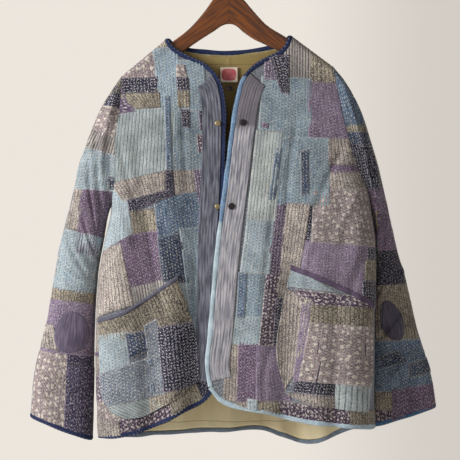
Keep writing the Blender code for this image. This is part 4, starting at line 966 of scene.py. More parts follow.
def front_limits(side):
    """How a front is held inside its outline, and its places from shares."""
    edge_line, hem_line, outer = front_lines(side)
    toward = FRONT_MIDDLE[side]
    inner = inset(edge_line, UNDER_BINDING, toward)
    low_hem = inset(hem_line, UNDER_BINDING, toward)
    lines = (outer, inner) if side < 0 else (inner, outer)

    def top(across):
        return shoulder_line(across) + SHOULDER_TOP - SEAM_MARGIN

    def bottom(across):
        return height_at(low_hem, across)
    return (keep_within(*lines, top, bottom), spread_between(*lines, top, bottom))


SEAM_REACH, SEAM_OVERLAP = 26, 8               # millimetres


def to_seam(rows, outer):
    """Patches whose corners come near the armhole or side seam are drawn out past it."""
    drawn = []
    for cloth, level, *corners in rows:
        corners = np.array(corners, float).reshape(4, 2)
        limit = np.abs(across_at(outer, corners[:, 1] / 1000)) * 1000
        near = np.abs(corners[:, 0]) > limit - SEAM_REACH
        corners[:, 0] = np.where(near, np.sign(corners[:, 0]) * (limit + SEAM_OVERLAP), corners[:, 0])
        drawn.append((cloth, level, *corners.ravel()))
    return drawn


FRONTS = {}
for side, word, rows, cut in ((-1, "right", RIGHT_PATCHES, 0.150), (1, "left", LEFT_PATCHES, 0.180)):
    hold, spread = front_limits(side)
    surface = on_body(True, side < 0)
    ground = ground_cloth(f"front_{word}_ground", surface, spread, 54, 110, [GROUND, LINING])
    patches = patchwork(f"front_{word}_patches", surface, 100 if side < 0 else 200,
                        (to_seam(rows, outer_line(side)), hold, MILLIMETRE))
    for piece in (ground, patches):
        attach(piece, "root")
        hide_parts(f"front_{word}")
    FRONTS[word] = (surface, hold)


# The sleeves
# Two long quilted tubes sewn into the armholes, patched like the fronts. They hang bent a little
# at the elbow, in slanting soft creases. Round a sleeve the angle starts at its outer fold, 0 to
# 180 on the front and on to 360 on the back; down it the rings run from the armhole to the cuff.
SLEEVE_RIGHT = (
    (-0.2075, -0.2340, -0.2150, -0.4530, 0.001, 0.027),
    (-0.2290, -0.2680, -0.2178, -0.4620, 0.002, 0.029),
    (-0.2455, -0.3060, -0.2205, -0.4740, 0.004, 0.031),
    (-0.2590, -0.3420, -0.2235, -0.4900, 0.006, 0.032),
    (-0.2720, -0.3880, -0.2275, -0.5100, 0.008, 0.033),
    (-0.2840, -0.4360, -0.2318, -0.5340, 0.010, 0.034),
    (-0.2970, -0.4860, -0.2364, -0.5630, 0.012, 0.034),
    (-0.3090, -0.5360, -0.2400, -0.5990, 0.014, 0.034),
    (-0.3200, -0.5980, -0.2425, -0.6360, 0.016, 0.034),
    (-0.3290, -0.6530, -0.2440, -0.6740, 0.017, 0.034),
    (-0.3400, -0.6980, -0.2448, -0.7130, 0.018, 0.033),
    (-0.3500, -0.7360, -0.2448, -0.7510, 0.018, 0.032),
    (-0.3560, -0.7800, -0.2460, -0.8080, 0.018, 0.030),
    (-0.3600, -0.8280, -0.2478, -0.8700, 0.018, 0.028),
)
SLEEVE_LEFT = (
    (0.2060, -0.2180, 0.2578, -0.4560, 0.002, 0.027),
    (0.2220, -0.2440, 0.2600, -0.4640, 0.004, 0.028),
    (0.2360, -0.2720, 0.2622, -0.4750, 0.006, 0.029),
    (0.2470, -0.3020, 0.2645, -0.4890, 0.009, 0.030),
    (0.2590, -0.3400, 0.2665, -0.5080, 0.013, 0.031),
    (0.2700, -0.3760, 0.2672, -0.5310, 0.018, 0.031),
    (0.2826, -0.4260, 0.2660, -0.5660, 0.025, 0.031),
    (0.2950, -0.4780, 0.2640, -0.6080, 0.032, 0.031),
    (0.3080, -0.5300, 0.2625, -0.6490, 0.038, 0.031),
    (0.3240, -0.5820, 0.2615, -0.6880, 0.043, 0.031),
    (0.3350, -0.6300, 0.2615, -0.7240, 0.046, 0.031),
    (0.3456, -0.6740, 0.2620, -0.7560, 0.048, 0.030),
    (0.3600, -0.7180, 0.2630, -0.7900, 0.049, 0.029),
    (0.3720, -0.7600, 0.2645, -0.8200, 0.050, 0.028),
    (0.3800, -0.8140, 0.2665, -0.8500, 0.050, 0.027),
)
SLEEVES = {-1: SLEEVE_RIGHT, 1: SLEEVE_LEFT}
SLEEVE_SQUARENESS = 2.3
# Share of the length, slant across the sleeve, half width, height outwards
SLEEVE_FOLDS = (
    (0.22, 0.10, 0.035, -0.0040), (0.34, -0.08, 0.040, 0.0030), (0.47, 0.09, 0.035, -0.0040),
    (0.60, -0.10, 0.035, 0.0030), (0.70, 0.06, 0.030, -0.0035), (0.84, -0.06, 0.030, 0.0025),
)
DEGREE, RING = 0.0012, 0.045   # metres of cloth for a degree round a sleeve and a ring down it
# Creases: angle and ring at both ends, half width, and height outwards
CREASES_RIGHT = (
    (20, 1.2, 70, 3.4, 0.007, -0.0030), (50, 0.8, 105, 2.6, 0.007, 0.0026),
    (30, 3.2, 120, 5.0, 0.007, -0.0030), (10, 4.4, 90, 6.0, 0.008, 0.0026),
    (60, 5.6, 165, 6.4, 0.006, -0.0030), (20, 6.8, 130, 7.6, 0.007, -0.0026),
    (70, 8.2, 170, 7.6, 0.006, 0.0024), (30, 9.2, 150, 8.6, 0.006, -0.0028),
    (20, 10.4, 110, 11.2, 0.007, 0.0022), (60, 11.8, 160, 11.2, 0.007, -0.0024),
    (40, 12.6, 90, 13.6, 0.008, 0.0018), (200, 2.0, 290, 3.2, 0.008, -0.0028),
    (210, 4.6, 320, 5.6, 0.008, 0.0028), (200, 7.4, 330, 8.2, 0.007, -0.0028),
    (220, 9.6, 340, 9.0, 0.007, 0.0026), (200, 11.6, 310, 12.2, 0.008, -0.0022),
)
CREASES_LEFT = (
    (20, 1.6, 80, 3.6, 0.007, -0.0028), (60, 1.0, 120, 3.0, 0.007, 0.0024),
    (30, 4.2, 130, 5.4, 0.007, -0.0028), (60, 5.6, 170, 6.2, 0.007, 0.0024),
    (20, 7.0, 120, 7.8, 0.006, -0.0028), (70, 8.6, 170, 8.0, 0.007, -0.0026),
    (10, 9.6, 110, 9.2, 0.007, 0.0026), (50, 10.6, 160, 10.2, 0.006, -0.0028),
    (30, 12.0, 120, 12.8, 0.008, 0.0020), (70, 13.4, 150, 13.0, 0.007, -0.0020),
    (200, 2.4, 300, 3.6, 0.008, -0.0028), (210, 5.4, 330, 6.4, 0.008, 0.0026),
    (200, 8.4, 330, 9.0, 0.007, -0.0028), (220, 10.6, 330, 10.0, 0.007, 0.0026),
    (200, 12.8, 320, 13.4, 0.008, -0.0020),
)
# Cloth, how thick, then x and z in millimetres of the four corners, as seen from the front
SLEEVE_RIGHT_PATCHES = (
    ("khaki_speckle", 0, -179, -170, -183, -223, -190, -255, -229, -241),
    ("navy", 0, -218, -223, -176, -244, -176, -280, -240, -262),
    ("mauve", 0, -243, -259, -172, -280, -179, -337, -275, -308),
    ("stripe", 0, -268, -301, -179, -333, -183, -369, -290, -333),
    ("chambray_light", 0, -286, -330, -183, -363, -190, -422, -304, -415),
    ("denim_dark", 1, -218, -394, -187, -395, -190, -419, -217, -417),
    ("speckle", 0, -300, -408, -259, -415, -266, -490, -322, -486),
    ("plum", 0, -263, -417, -187, -420, -204, -546, -274, -529),
    ("chambray_light", 0, -318, -482, -208, -507, -218, -609, -343, -593),
    ("khaki_speckle", 0, -339, -589, -218, -605, -218, -628, -346, -612),
    ("plum_light", 0, -346, -610, -218, -625, -218, -721, -364, -703),
    ("speckle", 1, -350, -657, -314, -660, -300, -706, -361, -699),
    ("mauve", 0, -361, -694, -286, -710, -297, -877, -389, -848),
    ("navy_violet", 0, -290, -708, -218, -717, -226, -884, -298, -870),
)
SLEEVE_LEFT_PATCHES = (
    ("denim", 0, 165, -156, 243, -230, 268, -305, 197, -308),
    ("khaki_speckle", 0, 199, -301, 272, -298, 277, -315, 203, -319),
    ("denim_dark", 0, 201, -314, 275, -312, 283, -340, 206, -340),
    ("navy", 0, 206, -337, 258, -333, 283, -415, 222, -426),
    ("speckle", 0, 254, -333, 290, -337, 318, -411, 279, -417),
    ("plum", 0, 222, -419, 322, -404, 336, -522, 243, -529),
    ("navy_plain", 0, 243, -525, 332, -514, 346, -589, 247, -594),
    ("khaki_speckle", 0, 247, -591, 346, -584, 370, -689, 247, -696),
    ("denim", 0, 247, -692, 370, -685, 391, -774, 247, -788),
    ("denim_dark", 1, 275, -717, 311, -706, 318, -731, 279, -742),
    ("denim_dark", 1, 325, -731, 371, -721, 375, -749, 329, -760),
    ("plum", 0, 297, -779, 393, -767, 403, -827, 297, -838),
    ("khaki_speckle", 0, 243, -785, 302, -785, 307, -820, 243, -824),
    ("plum_flower", 0, 243, -816, 307, -815, 314, -859, 243, -866),
)
# On the backs of both sleeves: angle and ring of the four corners
SLEEVE_BACK_PATCHES = (
    ("chambray", 0, 176, 0, 262, 0, 264, 2.6, 176, 3.4),
    ("khaki_speckle", 0, 258, 0, 374, 0, 374, 2.4, 260, 2.7),
    ("plum_dot", 0, 176, 3.3, 262, 2.5, 262, 6.6, 176, 6.5),
    ("speckle", 0, 258, 2.6, 374, 2.3, 374, 5.2, 258, 5.4),
    ("denim", 0, 258, 5.3, 374, 5.0, 374, 8.0, 258, 8.2),
    ("navy", 1, 196, 4.6, 234, 4.6, 236, 6.0, 198, 6.0),
    ("plum", 0, 176, 6.4, 262, 6.5, 262, 9.6, 176, 9.4),
    ("mauve", 0, 256, 8.0, 374, 8.0, 374, 10.8, 256, 10.6),
    ("chambray_light", 0, 176, 9.3, 260, 9.4, 262, 12.0, 176, 11.8),
    ("plum_flower", 0, 258, 10.5, 374, 10.7, 374, 13.0, 258, 12.8),
    ("denim_dark", 1, 210, 10.2, 246, 10.2, 246, 11.2, 212, 11.2),
    ("khaki_speckle", 0, 176, 11.7, 266, 11.9, 266, 15, 176, 15),
    ("pale", 0, 258, 12.7, 374, 12.9, 374, 15, 258, 15),
)


def sleeve_point(side, angle, ring):
    """Point of a sleeve's outer face, creases left out."""
    angle, ring = np.broadcast_arrays(np.asarray(angle, float), np.asarray(ring, float))
    table = SLEEVES[side]
    keyed = np.column_stack([np.arange(1, len(table) + 1), table])
    cosine, sine = np.cos(np.radians(angle)), np.sin(np.radians(angle))
    power = 2 / SLEEVE_SQUARENESS
    place = (1 - np.sign(cosine) * np.abs(cosine) ** power) / 2
    facing = np.where(sine >= 0, -1.0, 1.0)
    lower = np.maximum(ring, 1.0)
    outer_x, outer_z, inner_x, inner_z, middle, half = [
        smooth_table(lower, keyed, column) for column in range(1, 7)]
    rise = 0.0
    for at, slant, width, height in SLEEVE_FOLDS:
        rise = rise + height * np.exp(-(((lower / len(table) - at - slant * (place - 0.5)) / width) ** 2))
    x = outer_x + (inner_x - outer_x) * place
    y = middle + facing * np.abs(sine) ** power * (half + rise)
    z = outer_z + (inner_z - outer_z) * place
    tube = np.stack([x, y, z], axis=-1)
    seam = armhole_at(side, place)
    joined = np.where((facing < 0)[..., None], body_point(seam[..., 0], seam[..., 1]),
                      body_point(seam[..., 0], seam[..., 1], front=False))
    share = smooth_step(np.clip(ring, 0, 1))[..., None]
    return joined * (1 - share) + tube * share


def on_sleeve(side):
    """A sleeve's face as a surface: angles and rings in, points and outward directions out."""
    creases = [(a0 * DEGREE, -r0 * RING, a1 * DEGREE, -r1 * RING, width, height)
               for a0, r0, a1, r1, width, height in (CREASES_RIGHT if side < 0 else CREASES_LEFT)]

    def surface(flat):
        angle, ring = flat[..., 0], flat[..., 1]
        around = sleeve_point(side, angle + 1.5, ring) - sleeve_point(side, angle - 1.5, ring)
        down = sleeve_point(side, angle, ring + 0.03) - sleeve_point(side, angle, ring - 0.03)
        normal = unit(np.cross(around, down)) * (-1.0 if side < 0 else 1.0)
        turned = np.mod(angle, 360.0)
        height = crease_height(creases, turned * DEGREE, -ring * RING)
        height = height * smooth_step(ring / 1.2)
        return sleeve_point(side, angle, ring) + height[..., None] * normal, normal
    return surface


def within_sleeve(side):
    last = len(SLEEVES[side])

    def hold(flat):
        held = np.stack([flat[..., 0], np.clip(flat[..., 1], 0.02, last - 0.06)], axis=-1)
        return held, np.abs(held[..., 1] - flat[..., 1]) > 1e-7
    return hold


def seen_on_sleeve(side):
    """Turns x and z of a place on the sleeve's front into its angle and ring, past the folds too."""
    last = len(SLEEVES[side])
    shares = np.linspace(-0.16, 1.16, 133)
    rings = np.linspace(-0.4, last + 0.4, 12 * last)
    share, ring = [axis.ravel() for axis in np.meshgrid(shares, rings)]
    inside = np.clip(share, 0, 1)
    cosine = np.sign(1 - 2 * inside) * np.abs(1 - 2 * inside) ** (SLEEVE_SQUARENESS / 2)
    angle = np.degrees(np.arccos(cosine))
    held = np.clip(ring, 0.0, last)
    points = sleeve_point(side, angle, held)
    outer, inner = sleeve_point(side, 0.0, held), sleeve_point(side, 180.0, held)
    across = inner - outer
    down = sleeve_point(side, angle, last) - sleeve_point(side, angle, last - 0.5)
    points = points + (share - inside)[:, None] * across + 2 * np.maximum(ring - last, 0)[:, None] * down
    top = sleeve_point(side, angle, 1.0) - sleeve_point(side, angle, 0.0)
    points = points + np.minimum(ring, 0)[:, None] * top
    angle = angle + (share - inside) * np.linalg.norm(across, axis=1) / DEGREE
    tree = KDTree(len(points))
    for number, (x, _, z) in enumerate(points):
        tree.insert((x, 0.0, z), number)
    tree.balance()

    def hold(flat):
        places = []
        for x, z in flat:
            found = tree.find_n((x, 0.0, z), 4)
            weights = np.array([1 / (distance + 0.0004) for _, _, distance in found])
            chosen = [number for _, number, _ in found]
            weights = weights / weights.sum()
            places.append((angle[chosen] @ weights, ring[chosen] @ weights))
        places = np.array(places)
        kept = np.stack([places[:, 0], np.clip(places[:, 1], 0.02, last - 0.06)], axis=-1)
        return kept, np.abs(kept[:, 1] - places[:, 1]) > 1e-7
    return hold


SLEEVE_LINED = 0.0004          # thin, so that the lining stays inside at the folds
for side, word, rows in ((-1, "right", SLEEVE_RIGHT_PATCHES), (1, "left", SLEEVE_LEFT_PATCHES)):
    last = len(SLEEVES[side])
    surface = on_sleeve(side)
    ground = ground_cloth(
        f"sleeve_{word}_ground", surface,
        lambda s, t: np.stack([360 * s, 0.02 + (last - 0.08) * t], axis=-1), 90, 110,
        [GROUND, LINING], turns=True)
    ground.modifiers["wall"].thickness = SLEEVE_LINED
    patches = patchwork(
        f"sleeve_{word}_patches", surface, 400 if side < 0 else 500,
        (SLEEVE_BACK_PATCHES, within_sleeve(side), 1.0), (rows, seen_on_sleeve(side), MILLIMETRE))
    for piece in (ground, patches):
        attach(piece, "root")
        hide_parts(f"sleeve_{word}")


# The pockets
# Two patch pockets of the same old cloths, sewn on the fronts round the sides and the bottom, with
# a bound mouth along the slanting top. They lie flat on the fronts.
POCKET_MOUTH_RIGHT = ((-0.238, -0.655), (-0.190, -0.642), (-0.146, -0.616), (-0.090, -0.578))
POCKET_SIDE_RIGHT = ((-0.238, -0.655), (-0.234, -0.735), (-0.228, -0.785), (-0.206, -0.812))
POCKET_INNER_RIGHT = ((-0.090, -0.578), (-0.072, -0.630), (-0.056, -0.690), (-0.052, -0.752))
POCKET_HEM_RIGHT = ((-0.206, -0.812), (-0.170, -0.820), (-0.110, -0.796), (-0.052, -0.752))
POCKET_MOUTH_LEFT = ((0.108, -0.560), (0.160, -0.580), (0.205, -0.600), (0.262, -0.628))
POCKET_SIDE_LEFT = ((0.262, -0.628), (0.262, -0.700), (0.258, -0.768), (0.248, -0.812))
POCKET_INNER_LEFT = ((0.108, -0.560), (0.092, -0.630), (0.082, -0.706), (0.100, -0.778))
POCKET_HEM_LEFT = ((0.100, -0.778), (0.140, -0.794), (0.190, -0.803), (0.248, -0.812))
POCKET_LIFT = 0.0029           # from the front's face to the pocket's
POCKET_BASE_DROP, POCKET_WALL = 0.0006, 0.0014
POCKET_RIGHT_PATCHES = (
    ("khaki_speckle", 0, -272, -655, -86, -567, -42, -683, -245, -685),
    ("chambray_light", 0, -251, -679, -179, -667, -172, -725, -246, -753),
    ("denim_dark", 0, -183, -670, -144, -665, -139, -702, -175, -718),
    ("grey_blue", 0, -151, -658, -125, -644, -114, -711, -142, -718),
    ("grey_blue", 0, -252, -750, -114, -704, -109, -777, -252, -811),
    ("navy", 0, -126, -660, -46, -648, -40, -758, -114, -774),
    ("khaki_speckle", 0, -116, -772, -40, -753, -40, -788, -112, -805),
    ("pale", 0, -280, -799, -138, -782, -110, -802, -173, -840),
    ("khaki_speckle", 0, -142, -784, -110, -777, -103, -809, -138, -812),
    ("denim", 1, -146, -718, -135, -714, -132, -728, -140, -732),
    ("denim", 1, -140, -760, -131, -756, -128, -774, -137, -777),
)
POCKET_LEFT_PATCHES = (
    ("chambray_light", 0, 90, -557, 118, -557, 188, -599, 97, -588),
    ("plum_flower", 0, 114, -592, 307, -616, 308, -637, 130, -620),
    ("speckle", 0, 72, -581, 146, -613, 125, -728, 75, -805),
    ("plum_light", 0, 130, -616, 146, -618, 128, -756, 112, -756),
    ("khaki_speckle", 0, 144, -620, 313, -630, 314, -670, 142, -653),
    ("mauve", 0, 142, -651, 314, -666, 316, -774, 123, -753),
    ("navy_plain", 1, 155, -686, 158, -686, 156, -707, 153, -707),
    ("navy_plain", 1, 158, -721, 161, -721, 151, -775, 146, -775),
    ("navy_plain", 1, 238, -690, 242, -691, 243, -714, 238, -713),
    ("navy", 0, 119, -751, 189, -756, 184, -782, 111, -775),
    ("speckle", 0, 103, -775, 188, -779, 188, -812, 110, -795),
    ("pale", 0, 186, -758, 316, -770, 317, -828, 182, -812),
)


def lifted(surface, amount):
    def higher(flat):
        points, normals = surface(flat)
        return points + amount * normals, normals
    return higher


def pocket_limits(mouth, seam_side, inner_side, hem, side):
    left, right = (seam_side, inner_side) if side < 0 else (inner_side, seam_side)
    lines = [curve_through(line, 80) for line in (left, right, mouth, hem)]

    def top(across):
        return height_at(lines[2], across)

    def bottom(across):
        return height_at(lines[3], across)
    return (keep_within(lines[0], lines[1], top, bottom),
            spread_between(lines[0], lines[1], top, bottom))


POCKETS = (
    (-1, "right", POCKET_MOUTH_RIGHT, POCKET_SIDE_RIGHT, POCKET_INNER_RIGHT, POCKET_HEM_RIGHT,
     POCKET_RIGHT_PATCHES, 600),
    (1, "left", POCKET_MOUTH_LEFT, POCKET_SIDE_LEFT, POCKET_INNER_LEFT, POCKET_HEM_LEFT,
     POCKET_LEFT_PATCHES, 700),
)
for side, word, mouth, seam_side, inner_side, hem, rows, seed in POCKETS:
    face = lifted(FRONTS[word][0], POCKET_LIFT)
    hold, spread = pocket_limits(mouth, seam_side, inner_side, hem, side)
    whole = bmesh.new()
    lay_patch(whole, spread, lifted(face, -POCKET_BASE_DROP), hold, CLOTH_NAMES.index("grey_blue"), 0.0, seed)
    base = cloth_piece(f"pocket_{word}_base", whole, list(CLOTHS.values()), POCKET_WALL)
    patches = patchwork(f"pocket_{word}_patches", face, seed, (rows, hold, MILLIMETRE))
    for piece in (base, patches):
        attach(piece, "root")
        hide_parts(f"pocket_{word}")


# The front bands
# Straight strips of washed lilac-grey cloth, 35 mm wide, laid down both front edges beside the
# bindings. Washing has crinkled them into fine upright pleats. The left one starts charcoal.
BAND_WIDTH, BAND_LIFT = 0.035, 0.0019
BINDING_WIDTH = 0.0086
STRIP_WALL = 0.0006
CRINKLE = 0.00035
# Shares of the front edge where the bands start and end
BAND_TOP_RIGHT, BAND_TOP_LEFT, BAND_END = 0.17, 0.16, 0.985


def band_cloth(name, colour, streak, top_colour=None):
    """Crinkled washed cotton, streaked along its length, darker above if a top colour is given."""
    made, tree, place, _ = start_finish(name, "UVMap")
    crinkle = noise(tree, place, 1.0, 4.0, (300.0, 30.0, 1.0))
    weave = noise(tree, place, 1.0, 1.0, WEAVE)
    fading = noise(tree, place, 24.0, 4.0)
    shade = blend(tree, spread_out(tree, crinkle, 0.38, 0.64), linear(colour), linear(streak))
    if top_colour:
        height = spot_of(tree)[1][2]
        height = plus(tree, height, times(tree, fading, 0.03))
        shade = blend(tree, spread_out(tree, height, -0.300, -0.285), shade, linear(top_colour))
    level = spread_out(tree, fading, 0.3, 0.7, 0.84, 1.16)
    level = times(tree, level, spread_out(tree, weave, 0.3, 0.7, 0.88, 1.1))
    shade = dimmed(tree, shade, level)
    raised = plus(tree, crinkle, times(tree, weave, 0.25))
    return end_finish(made, shade, raised, 0.8, 0.0010, COTTON)


def strip_cloth(name, place, surface, rise, columns, rows, material, seed, crinkle=CRINKLE):
    """One plain strip laid on a surface, turned under, crinkled along its length."""
    rng = np.random.default_rng(seed)
    probe = np.linspace(0, 1, 30)
    half = np.full(30, 0.5)
    width = lengths(surface(place(probe, half))[0])[-1]
    tall = lengths(surface(place(half, probe))[0])[-1]
    shape = bmesh.new()
    bmesh.ops.create_grid(shape, x_segments=columns, y_segments=rows, size=0.5)
    spots = np.array([vert.co for vert in shape.verts])
    s, t = spots[:, 0] + 0.5, 0.5 - spots[:, 1]
    points, normals = surface(place(s, t))
    phases = rng.uniform(0, 6.28, 4)
    wave = np.sin(2 * math.pi * s * width / 0.0052 + 1.6 * np.sin(t * tall / 0.035 + phases[0]))
    slow = np.sin(2 * math.pi * s * width / 0.0127 + phases[1] + t * tall / 0.05)
    near = np.minimum(np.minimum(s, 1 - s) * width, np.minimum(t, 1 - t) * tall)
    height = crinkle * (0.6 * wave + 0.4 * slow) * np.clip(near / 0.004, 0, 1)
    height = np.where(near < 1e-6, -rise, height)
    for vert, point in zip(shape.verts, points + (rise + height)[:, None] * normals):
        vert.co = point
    set_uv(shape, s * width, t * tall)
    face_outwards(shape, points, normals)
    return cloth_piece(name, shape, [material], STRIP_WALL)


BAND_LEFT_CLOTH = band_cloth("washed_lilac_charcoal", (172, 170, 176), (128, 128, 140), (112, 108, 116))
BAND_RIGHT_CLOTH = band_cloth("washed_lilac", (118, 120, 132), (78, 80, 94))
for side, word, start, cloth in ((-1, "right", BAND_TOP_RIGHT, BAND_RIGHT_CLOTH),
                                 (1, "left", BAND_TOP_LEFT, BAND_LEFT_CLOTH)):
    edge_line, _, _ = front_lines(side)
    near_line = inset(edge_line, BINDING_WIDTH, FRONT_MIDDLE[side])
    far_line = inset(edge_line, BINDING_WIDTH + BAND_WIDTH, FRONT_MIDDLE[side])

    def band_place(s, t, near_line=near_line, far_line=far_line, start=start):
        at = (start + (BAND_END - start) * t) * (len(near_line) - 1)
        index = np.arange(len(near_line))
        near = np.stack([np.interp(at, index, near_line[:, a]) for a in (0, 1)], axis=-1)
        far = np.stack([np.interp(at, index, far_line[:, a]) for a in (0, 1)], axis=-1)
        return near * (1 - s[..., None]) + far * s[..., None]
    band = strip_cloth(f"band_{word}", band_place, FRONTS[word][0], BAND_LIFT, 42, 190, cloth,
                       810 if side < 0 else 811)
    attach(band, "root")
    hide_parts(f"front_band_{word}")


# The bindings
# Narrow strips of blue cottons folded over every edge and sewn down by hand. The left front's one
# starts navy at the neck and goes on in light blue, then in pale blue down to the hem.
BINDING_HALF, STRIP_ROUNDING = 0.0024, 0.75
PUCKER_PITCH, PUCKER = 0.0072, 0.00035


def binding_cloth(name, colour, streak, stops=()):
    """Plain cotton on the bias, streaked, with a row of small hand stitches at its inner side."""
    made, tree, place, axes = start_finish(name, "UVMap")
    streaks = noise(tree, place, 1.0, 3.0, (500.0, 90.0, 1.0))
    weave = noise(tree, place, 1.0, 1.0, WEAVE)
    fading = noise(tree, place, 30.0, 4.0)
    shade = blend(tree, spread_out(tree, streaks, 0.4, 0.65), linear(colour), linear(streak))
    if stops:
        height = spot_of(tree)[1][2]
        for at, dye, faded in stops:
            next_shade = blend(tree, spread_out(tree, streaks, 0.4, 0.65), linear(dye), linear(faded))
            shade = blend(tree, spread_out(tree, height, at + 0.002, at - 0.002), shade, next_shade)
    level = spread_out(tree, fading, 0.3, 0.7, 0.84, 1.16)
    level = times(tree, level, spread_out(tree, weave, 0.3, 0.7, 0.88, 1.1))
    shade = dimmed(tree, shade, level)
    dash = calc(tree, "FRACT", times(tree, axes[1], 1 / PUCKER_PITCH))
    row = spread_out(tree, calc(tree, "ABSOLUTE", calc(tree, "SUBTRACT", axes[0], 0.0022)),
                     0.0006, 0.0003)
    sewn = times(tree, row, spread_out(tree, dash, 0.42, 0.36))
    shade = blend(tree, times(tree, sewn, 0.3), shade, linear(PALE_THREAD))
    raised = plus(tree, times(tree, streaks, 0.7), times(tree, weave, 0.3))
    return end_finish(made, shade, raised, 0.6, 0.0007, (("Roughness", 0.93), COTTON[1]))


def tube(name, stations, material, ring=False):
    """A closed rounded bar through rows of section points, its ends filled."""
    rows, columns = stations.shape[:2]
    closed = np.concatenate([stations, stations[:, :1]], axis=1)
    if ring:
        closed = np.concatenate([closed, closed[:1]], axis=0)
    along = lengths(closed[:, 0])
    around = lengths(closed[0])
    shape = bmesh.new()
    bmesh.ops.create_grid(shape, x_segments=closed.shape[1] - 1, y_segments=closed.shape[0] - 1,
                          size=0.5)
    spots = np.array([vert.co for vert in shape.verts])
    i = np.rint((0.5 - spots[:, 1]) * (closed.shape[0] - 1)).astype(int)
    j = np.rint((spots[:, 0] + 0.5) * (closed.shape[1] - 1)).astype(int)
    set_uv(shape, around[j], along[i])
    for vert, point in zip(shape.verts, closed[i, j]):
        vert.co = point
    bmesh.ops.remove_doubles(shape, verts=shape.verts, dist=1e-6)
    open_edges = [edge for edge in shape.edges if len(edge.link_faces) == 1]
    if open_edges:
        bmesh.ops.holes_fill(shape, edges=open_edges)
    bmesh.ops.recalc_face_normals(shape, faces=shape.faces)
    return cloth_piece(name, shape, [material])


def binding_stations(edge_points, inner_points, normals, seed, sides=14):
    """Sections of a folded strip: puffy, dimpled where each stitch pulls it in."""
    rng = np.random.default_rng(seed)
    along = lengths(edge_points)
    phases = rng.uniform(0, 6.28, 3)
    wander = 0.0004 * np.sin(along / 0.021 + phases[0]) + 0.0003 * np.sin(along / 0.0087 + phases[1])
    dimple = np.cos(2 * math.pi * along / PUCKER_PITCH) * PUCKER
    out = unit(edge_points - inner_points)
    middle = (edge_points + inner_points) / 2 - WALL / 2 * normals
    turns = 2 * math.pi * (np.arange(sides) + 0.5) / sides
    level, upright = np.cos(turns), np.sin(turns)
    wide = np.sign(level) * np.abs(level) ** STRIP_ROUNDING
    thick = np.sign(upright) * np.abs(upright) ** STRIP_ROUNDING
    half_width = (BINDING_WIDTH / 2 + wander)[:, None, None]
    half_thick = (BINDING_HALF + dimple * 0.6 + 0.0002 * np.sin(along / 0.013 + phases[2]))[:, None, None]
    return (middle[:, None, :] + half_width * wide[None, :, None] * out[:, None, :]
            + half_thick * thick[None, :, None] * normals[:, None, :])


def bind_line(name, line, toward, surface, material, seed):
    """A binding along an edge line of a panel, in the flat."""
    count = int(lengths(line)[-1] / 0.0024)
    even = curve_through(line[::6], count) if len(line) > 60 else line
    inner = inset(even, BINDING_WIDTH, toward)
    edge_points, _ = surface(even)
    inner_points, normals = surface(inner)
    return tube(name, binding_stations(edge_points, inner_points, normals, seed), material)


NAVY_STRIP = binding_cloth("navy_binding", (44, 54, 88), (34, 42, 72))
BACK_STRIP = binding_cloth("faded_blue_binding", (138, 150, 166), (110, 124, 146))
LEFT_STRIP = binding_cloth("left_edge_binding", (40, 48, 80), (32, 38, 66), (
    (-0.215, (122, 148, 176), (94, 122, 156)), (-0.475, (182, 198, 206), (154, 176, 192))))
CUFF_STRIP = binding_cloth("cuff_binding", (74, 104, 138), (56, 84, 118))
PALE_STRIP = binding_cloth("pale_binding", (176, 192, 202), (146, 168, 186))
BINDINGS = []
for side, word, edge_material, hem_material in (
        (-1, "right", NAVY_STRIP, NAVY_STRIP), (1, "left", LEFT_STRIP, PALE_STRIP)):
    edge_line, hem_line, _ = front_lines(side)
    toward = FRONT_MIDDLE[side]
    surface = FRONTS[word][0]
    BINDINGS.append((bind_line(f"edge_strip_{word}", edge_line, toward, surface, edge_material, 820),
                     f"edge_binding_{word}", "navy_binding" if side < 0 else "blue_binding"))
    BINDINGS.append((bind_line(f"hem_strip_{word}", hem_line, toward, surface, hem_material, 821),
                     f"hem_binding_{word}", "navy_binding" if side < 0 else "pale_blue_binding"))
BINDINGS.append((bind_line("hem_strip_back", back_hem_line, BACK_MIDDLE, on_body(False), BACK_STRIP, 822),
                 "hem_binding_back", "pale_blue_binding"))
BINDINGS.append((bind_line("neck_strip_back", neck_line, BACK_MIDDLE, on_body(False), NAVY_STRIP, 823),
                 "neck_binding_back", "navy_binding"))
for side, word in ((-1, "right"), (1, "left")):
    last = len(SLEEVES[side])
    turn = np.linspace(0, 360, 190, endpoint=False)
    edge_points, normals = on_sleeve(side)(np.stack([turn, np.full(190, last - 0.001)], axis=-1))
    before, _ = on_sleeve(side)(np.stack([turn, np.full(190, last - 0.16)], axis=-1))
    inner_points = edge_points + unit(before - edge_points) * BINDING_WIDTH
    stations = binding_stations(edge_points, inner_points, normals, 824 + side)
    BINDINGS.append((tube(f"cuff_strip_{word}", stations, CUFF_STRIP if side > 0 else NAVY_STRIP, ring=True),
                     f"cuff_binding_{word}", "navy_binding"))
GREY_STRIP = binding_cloth("grey_binding", (100, 100, 114), (78, 78, 94))
PLUM_STRIP = binding_cloth("plum_binding", (100, 86, 110), (82, 68, 92))
for side, word, mouth, material, slot_name in (
        (-1, "right", POCKET_MOUTH_RIGHT, GREY_STRIP, "grey_binding"),
        (1, "left", POCKET_MOUTH_LEFT, PLUM_STRIP, "plum_binding")):
    line = curve_through(mouth, 84) + np.array([0.0, 0.0003])
    surface = lifted(FRONTS[word][0], POCKET_LIFT + POCKET_BASE_DROP)
    edge_points, normals = surface(line + np.array([0.0, BINDING_WIDTH]))
    inner_points, _ = surface(line)
    BINDINGS.append((tube(f"mouth_strip_{word}",
                          binding_stations(edge_points, inner_points, normals, 828), material),
                     f"pocket_binding_{word}", slot_name))
for strip, node, slot_name in BINDINGS:
    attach(strip, "root")
    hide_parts(node)
